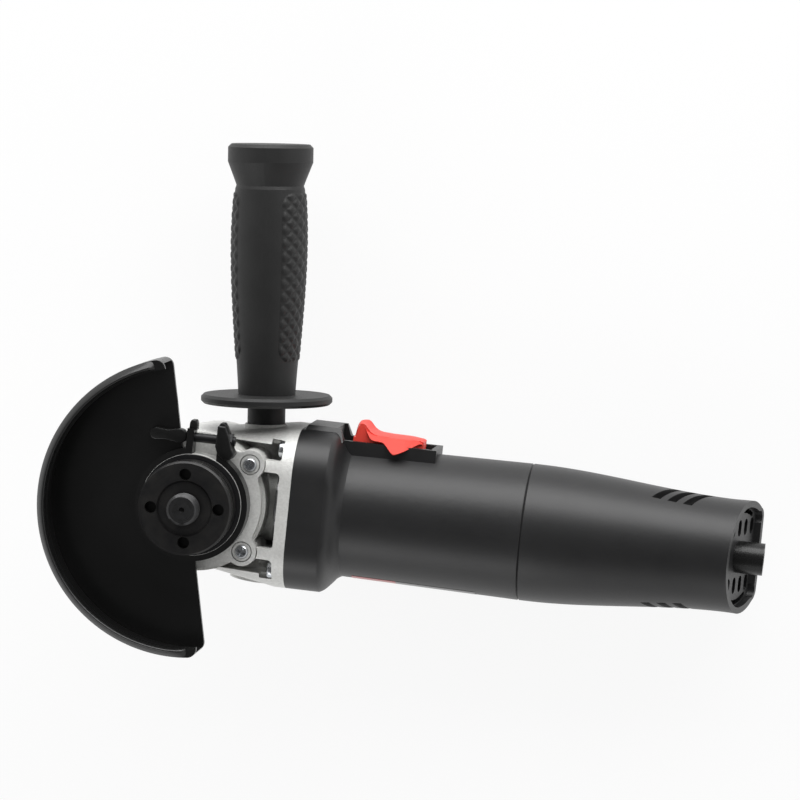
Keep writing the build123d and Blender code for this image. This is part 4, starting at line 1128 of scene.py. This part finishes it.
@dataclass
class PlainLabel:
    """Bare two-colour label on the barrel's side away from the switch."""

    start: float = 70.0 * MM
    end: float = 126.0 * MM
    front_radius: float = 29.5 * MM
    front_at: float = 65.0 * MM
    rear_radius: float = 30.7 * MM
    rear_at: float = 145.0 * MM
    half_angle: float = 22.0
    proud: float = 0.12 * MM
    thickness: float = 0.2 * MM
    columns: int = 28
    rows: int = 36

    def build(self) -> None:
        """Makes the label."""
        mesh = grid(self.columns, self.rows)
        growth = (self.rear_radius - self.front_radius) / (self.rear_at - self.front_at)
        for vert in mesh.verts:
            along = self.start + (vert.co.x + 0.5) * (self.end - self.start)
            reach = self.front_radius + growth * (along - self.front_at) + self.proud
            angle = vert.co.y * 2.0 * math.radians(self.half_angle)
            vert.co = Vector((along, -reach * math.cos(angle), AXIS_Z + reach * math.sin(angle)))
        thicken(mesh, Vector(((self.start + self.end) / 2, 0.0, AXIS_Z)), self.thickness)
        add_piece("plain_label", mesh, LABEL, Body.HOUSING)


@dataclass(frozen=True)
class Lamp:
    """A soft area lamp: where it stands, the point it looks at, its width and height, and watts."""

    name: str
    place: Point
    aim: Point
    size: tuple[float, float]
    power: float

    def build(self) -> None:
        """Sets up the lamp."""
        data = bpy.data.lights.new(self.name, "AREA")
        data.shape = "RECTANGLE"
        data.size, data.size_y = self.size
        data.energy = self.power
        lamp = bpy.data.objects.new(self.name, data)
        lamp.location = self.place
        way = Vector(self.aim) - Vector(self.place)
        lamp.rotation_euler = way.to_track_quat("-Z", "Y").to_euler()
        bpy.context.scene.collection.objects.link(lamp)


@dataclass
class Studio:
    """Plain pale floor, soft lights and the camera at the photograph's view."""

    pixel: float = 0.435 * MM
    focal_pixels: float = 4000.0
    frame_pixels: float = 800.0
    sensor: float = 36.0
    sight: float = 20.0
    nose_at: tuple[float, float] = (181.4, 510.3)
    right: Point = (0.986, 0.102, -0.127)
    up: Point = (-0.113, 0.990, -0.082)
    nose: Point = (0.0, 0.0, 6.5 * MM)
    floor_size: float = 6.0
    floor_tone: float = 0.9
    floor_rough: float = 0.9
    floor_glow: float = 1.0
    glow_share: float = 0.9
    walls: float = 0.78
    walls_to: float = 0.45
    ceiling: float = 0.13
    ceiling_from: float = 0.85
    lamps: tuple[Lamp, ...] = (
        Lamp("key", (0.08, 1.25, 0.47), (0.08, 0.0, -0.05), (2.4, 1.0), 32.0),
        Lamp("fill", (-0.5, -1.1, 0.7), (0.05, 0.0, -0.05), (1.0, 0.6), 5.0))

    def camera(self) -> None:
        """Makes the camera from the photograph's scale and directions."""
        right = Vector(self.right).normalized()
        back = right.cross(Vector(self.up)).normalized()
        up = back.cross(right).normalized()
        across = (self.nose_at[0] - self.frame_pixels / 2) * self.pixel
        down = (self.nose_at[1] - self.frame_pixels / 2) * self.pixel
        distance = self.focal_pixels * self.pixel
        place = Vector(self.nose) - right * across + up * down + back * distance
        data = bpy.data.cameras.new("photo_camera")
        data.sensor_width = self.sensor
        data.lens = self.focal_pixels / self.frame_pixels * self.sensor
        data.clip_end = self.sight
        camera = bpy.data.objects.new("photo_camera", data)
        turn = Matrix((right, up, back)).transposed().to_4x4()
        camera.matrix_world = Matrix.Translation(place) @ turn
        bpy.context.scene.collection.objects.link(camera)
        bpy.context.scene.camera = camera

    def floor_material(self) -> bpy.types.Material:
        """Makes the floor's material, lifted towards white for the camera and for reflections.

        Returns:
            The new material.
        """
        graph = NodeGraph("pale_floor")
        graph.shader.inputs["Base Color"].default_value = (*[self.floor_tone] * 3, 1.0)
        graph.shader.inputs["Roughness"].default_value = self.floor_rough
        glow = graph.node("ShaderNodeEmission", Color=WHITE, Strength=self.floor_glow)
        rays = graph.node("ShaderNodeLightPath").outputs
        either = graph.worked("MAXIMUM", rays["Is Camera Ray"], rays["Is Glossy Ray"])
        mix = graph.node("ShaderNodeMixShader")
        graph.join(graph.worked("MULTIPLY", either, self.glow_share), mix.inputs[0])
        graph.join(graph.shader.outputs["BSDF"], mix.inputs[1])
        graph.join(glow.outputs["Emission"], mix.inputs[2])
        graph.join(mix.outputs["Shader"], graph.surface)
        return graph.material

    def floor(self) -> None:
        """Lays the pale floor under the tool."""
        mesh = bmesh.new()
        bmesh.ops.create_grid(mesh, x_segments=1, y_segments=1, size=self.floor_size)
        bmesh.ops.translate(mesh, verts=mesh.verts, vec=(0.0, 0.0, FLOOR_Z))
        data = bpy.data.meshes.new("floor")
        mesh.to_mesh(data)
        mesh.free()
        data.materials.append(self.floor_material())
        floor = bpy.data.objects.new("floor", data)
        bpy.context.scene.collection.objects.link(floor)

    def room(self) -> None:
        """Makes the room's light: pale walls, darker towards its ceiling."""
        world = bpy.data.worlds.new("soft_room")
        world.use_nodes = True
        tree = world.node_tree
        way = add_node(tree, "ShaderNodeTexCoord")
        parts = add_node(tree, "ShaderNodeSeparateXYZ")
        tree.links.new(way.outputs["Generated"], parts.inputs[0])
        fall = add_node(tree, "ShaderNodeMapRange", From_Min=self.walls_to,
                        From_Max=self.ceiling_from, To_Min=self.walls, To_Max=self.ceiling)
        fall.interpolation_type = "SMOOTHSTEP"
        tree.links.new(parts.outputs["Z"], fall.inputs["Value"])
        background = tree.nodes["Background"]
        background.inputs["Color"].default_value = WHITE
        tree.links.new(fall.outputs["Result"], background.inputs["Strength"])
        bpy.context.scene.world = world

    def build(self) -> None:
        """Makes the whole studio."""
        bpy.context.scene.view_settings.view_transform = "Standard"
        self.room()
        self.camera()
        self.floor()
        for lamp in self.lamps:
            lamp.build()


CAP_SCREWS = CrossScrews(
    "cap_cross_screws", "cap_screws",
    [(x * 23.0 * MM, y * 19.5 * MM, -28.6 * MM) for x in (-1, 1) for y in (-1, 1)],
    towards=UP, head=3.0 * MM, height=3.5 * MM, shank=2.4 * MM, length=17.9 * MM)
CASE_SCREWS = CrossScrews(
    "case_cross_screws", "case_screws",
    [(36.7 * MM, y * 27.02 * MM, AXIS_Z + z * 25.52 * MM) for y in (-1, 1) for z in (-1, 1)],
    towards=(-1.0, 0.0, 0.0), head=3.8 * MM, height=2.6 * MM, shank=2.1 * MM, length=19.9 * MM)


def main() -> None:
    """Builds the studio, dresses the solids and adds the pieces."""
    logging.basicConfig(level=logging.INFO, format="%(message)s")
    Studio().build()
    dress_nodes()
    for maker in (ThreadedSpindle(), CAP_SCREWS, SeatRings(CAP_SCREWS.places), CASE_SCREWS,
                  GuardClamp(), GuardRim(), SideGrip(), ThumbSlide(), LockCoil(), PlainLabel()):
        maker.build()


if __name__ == "__main__":
    main()
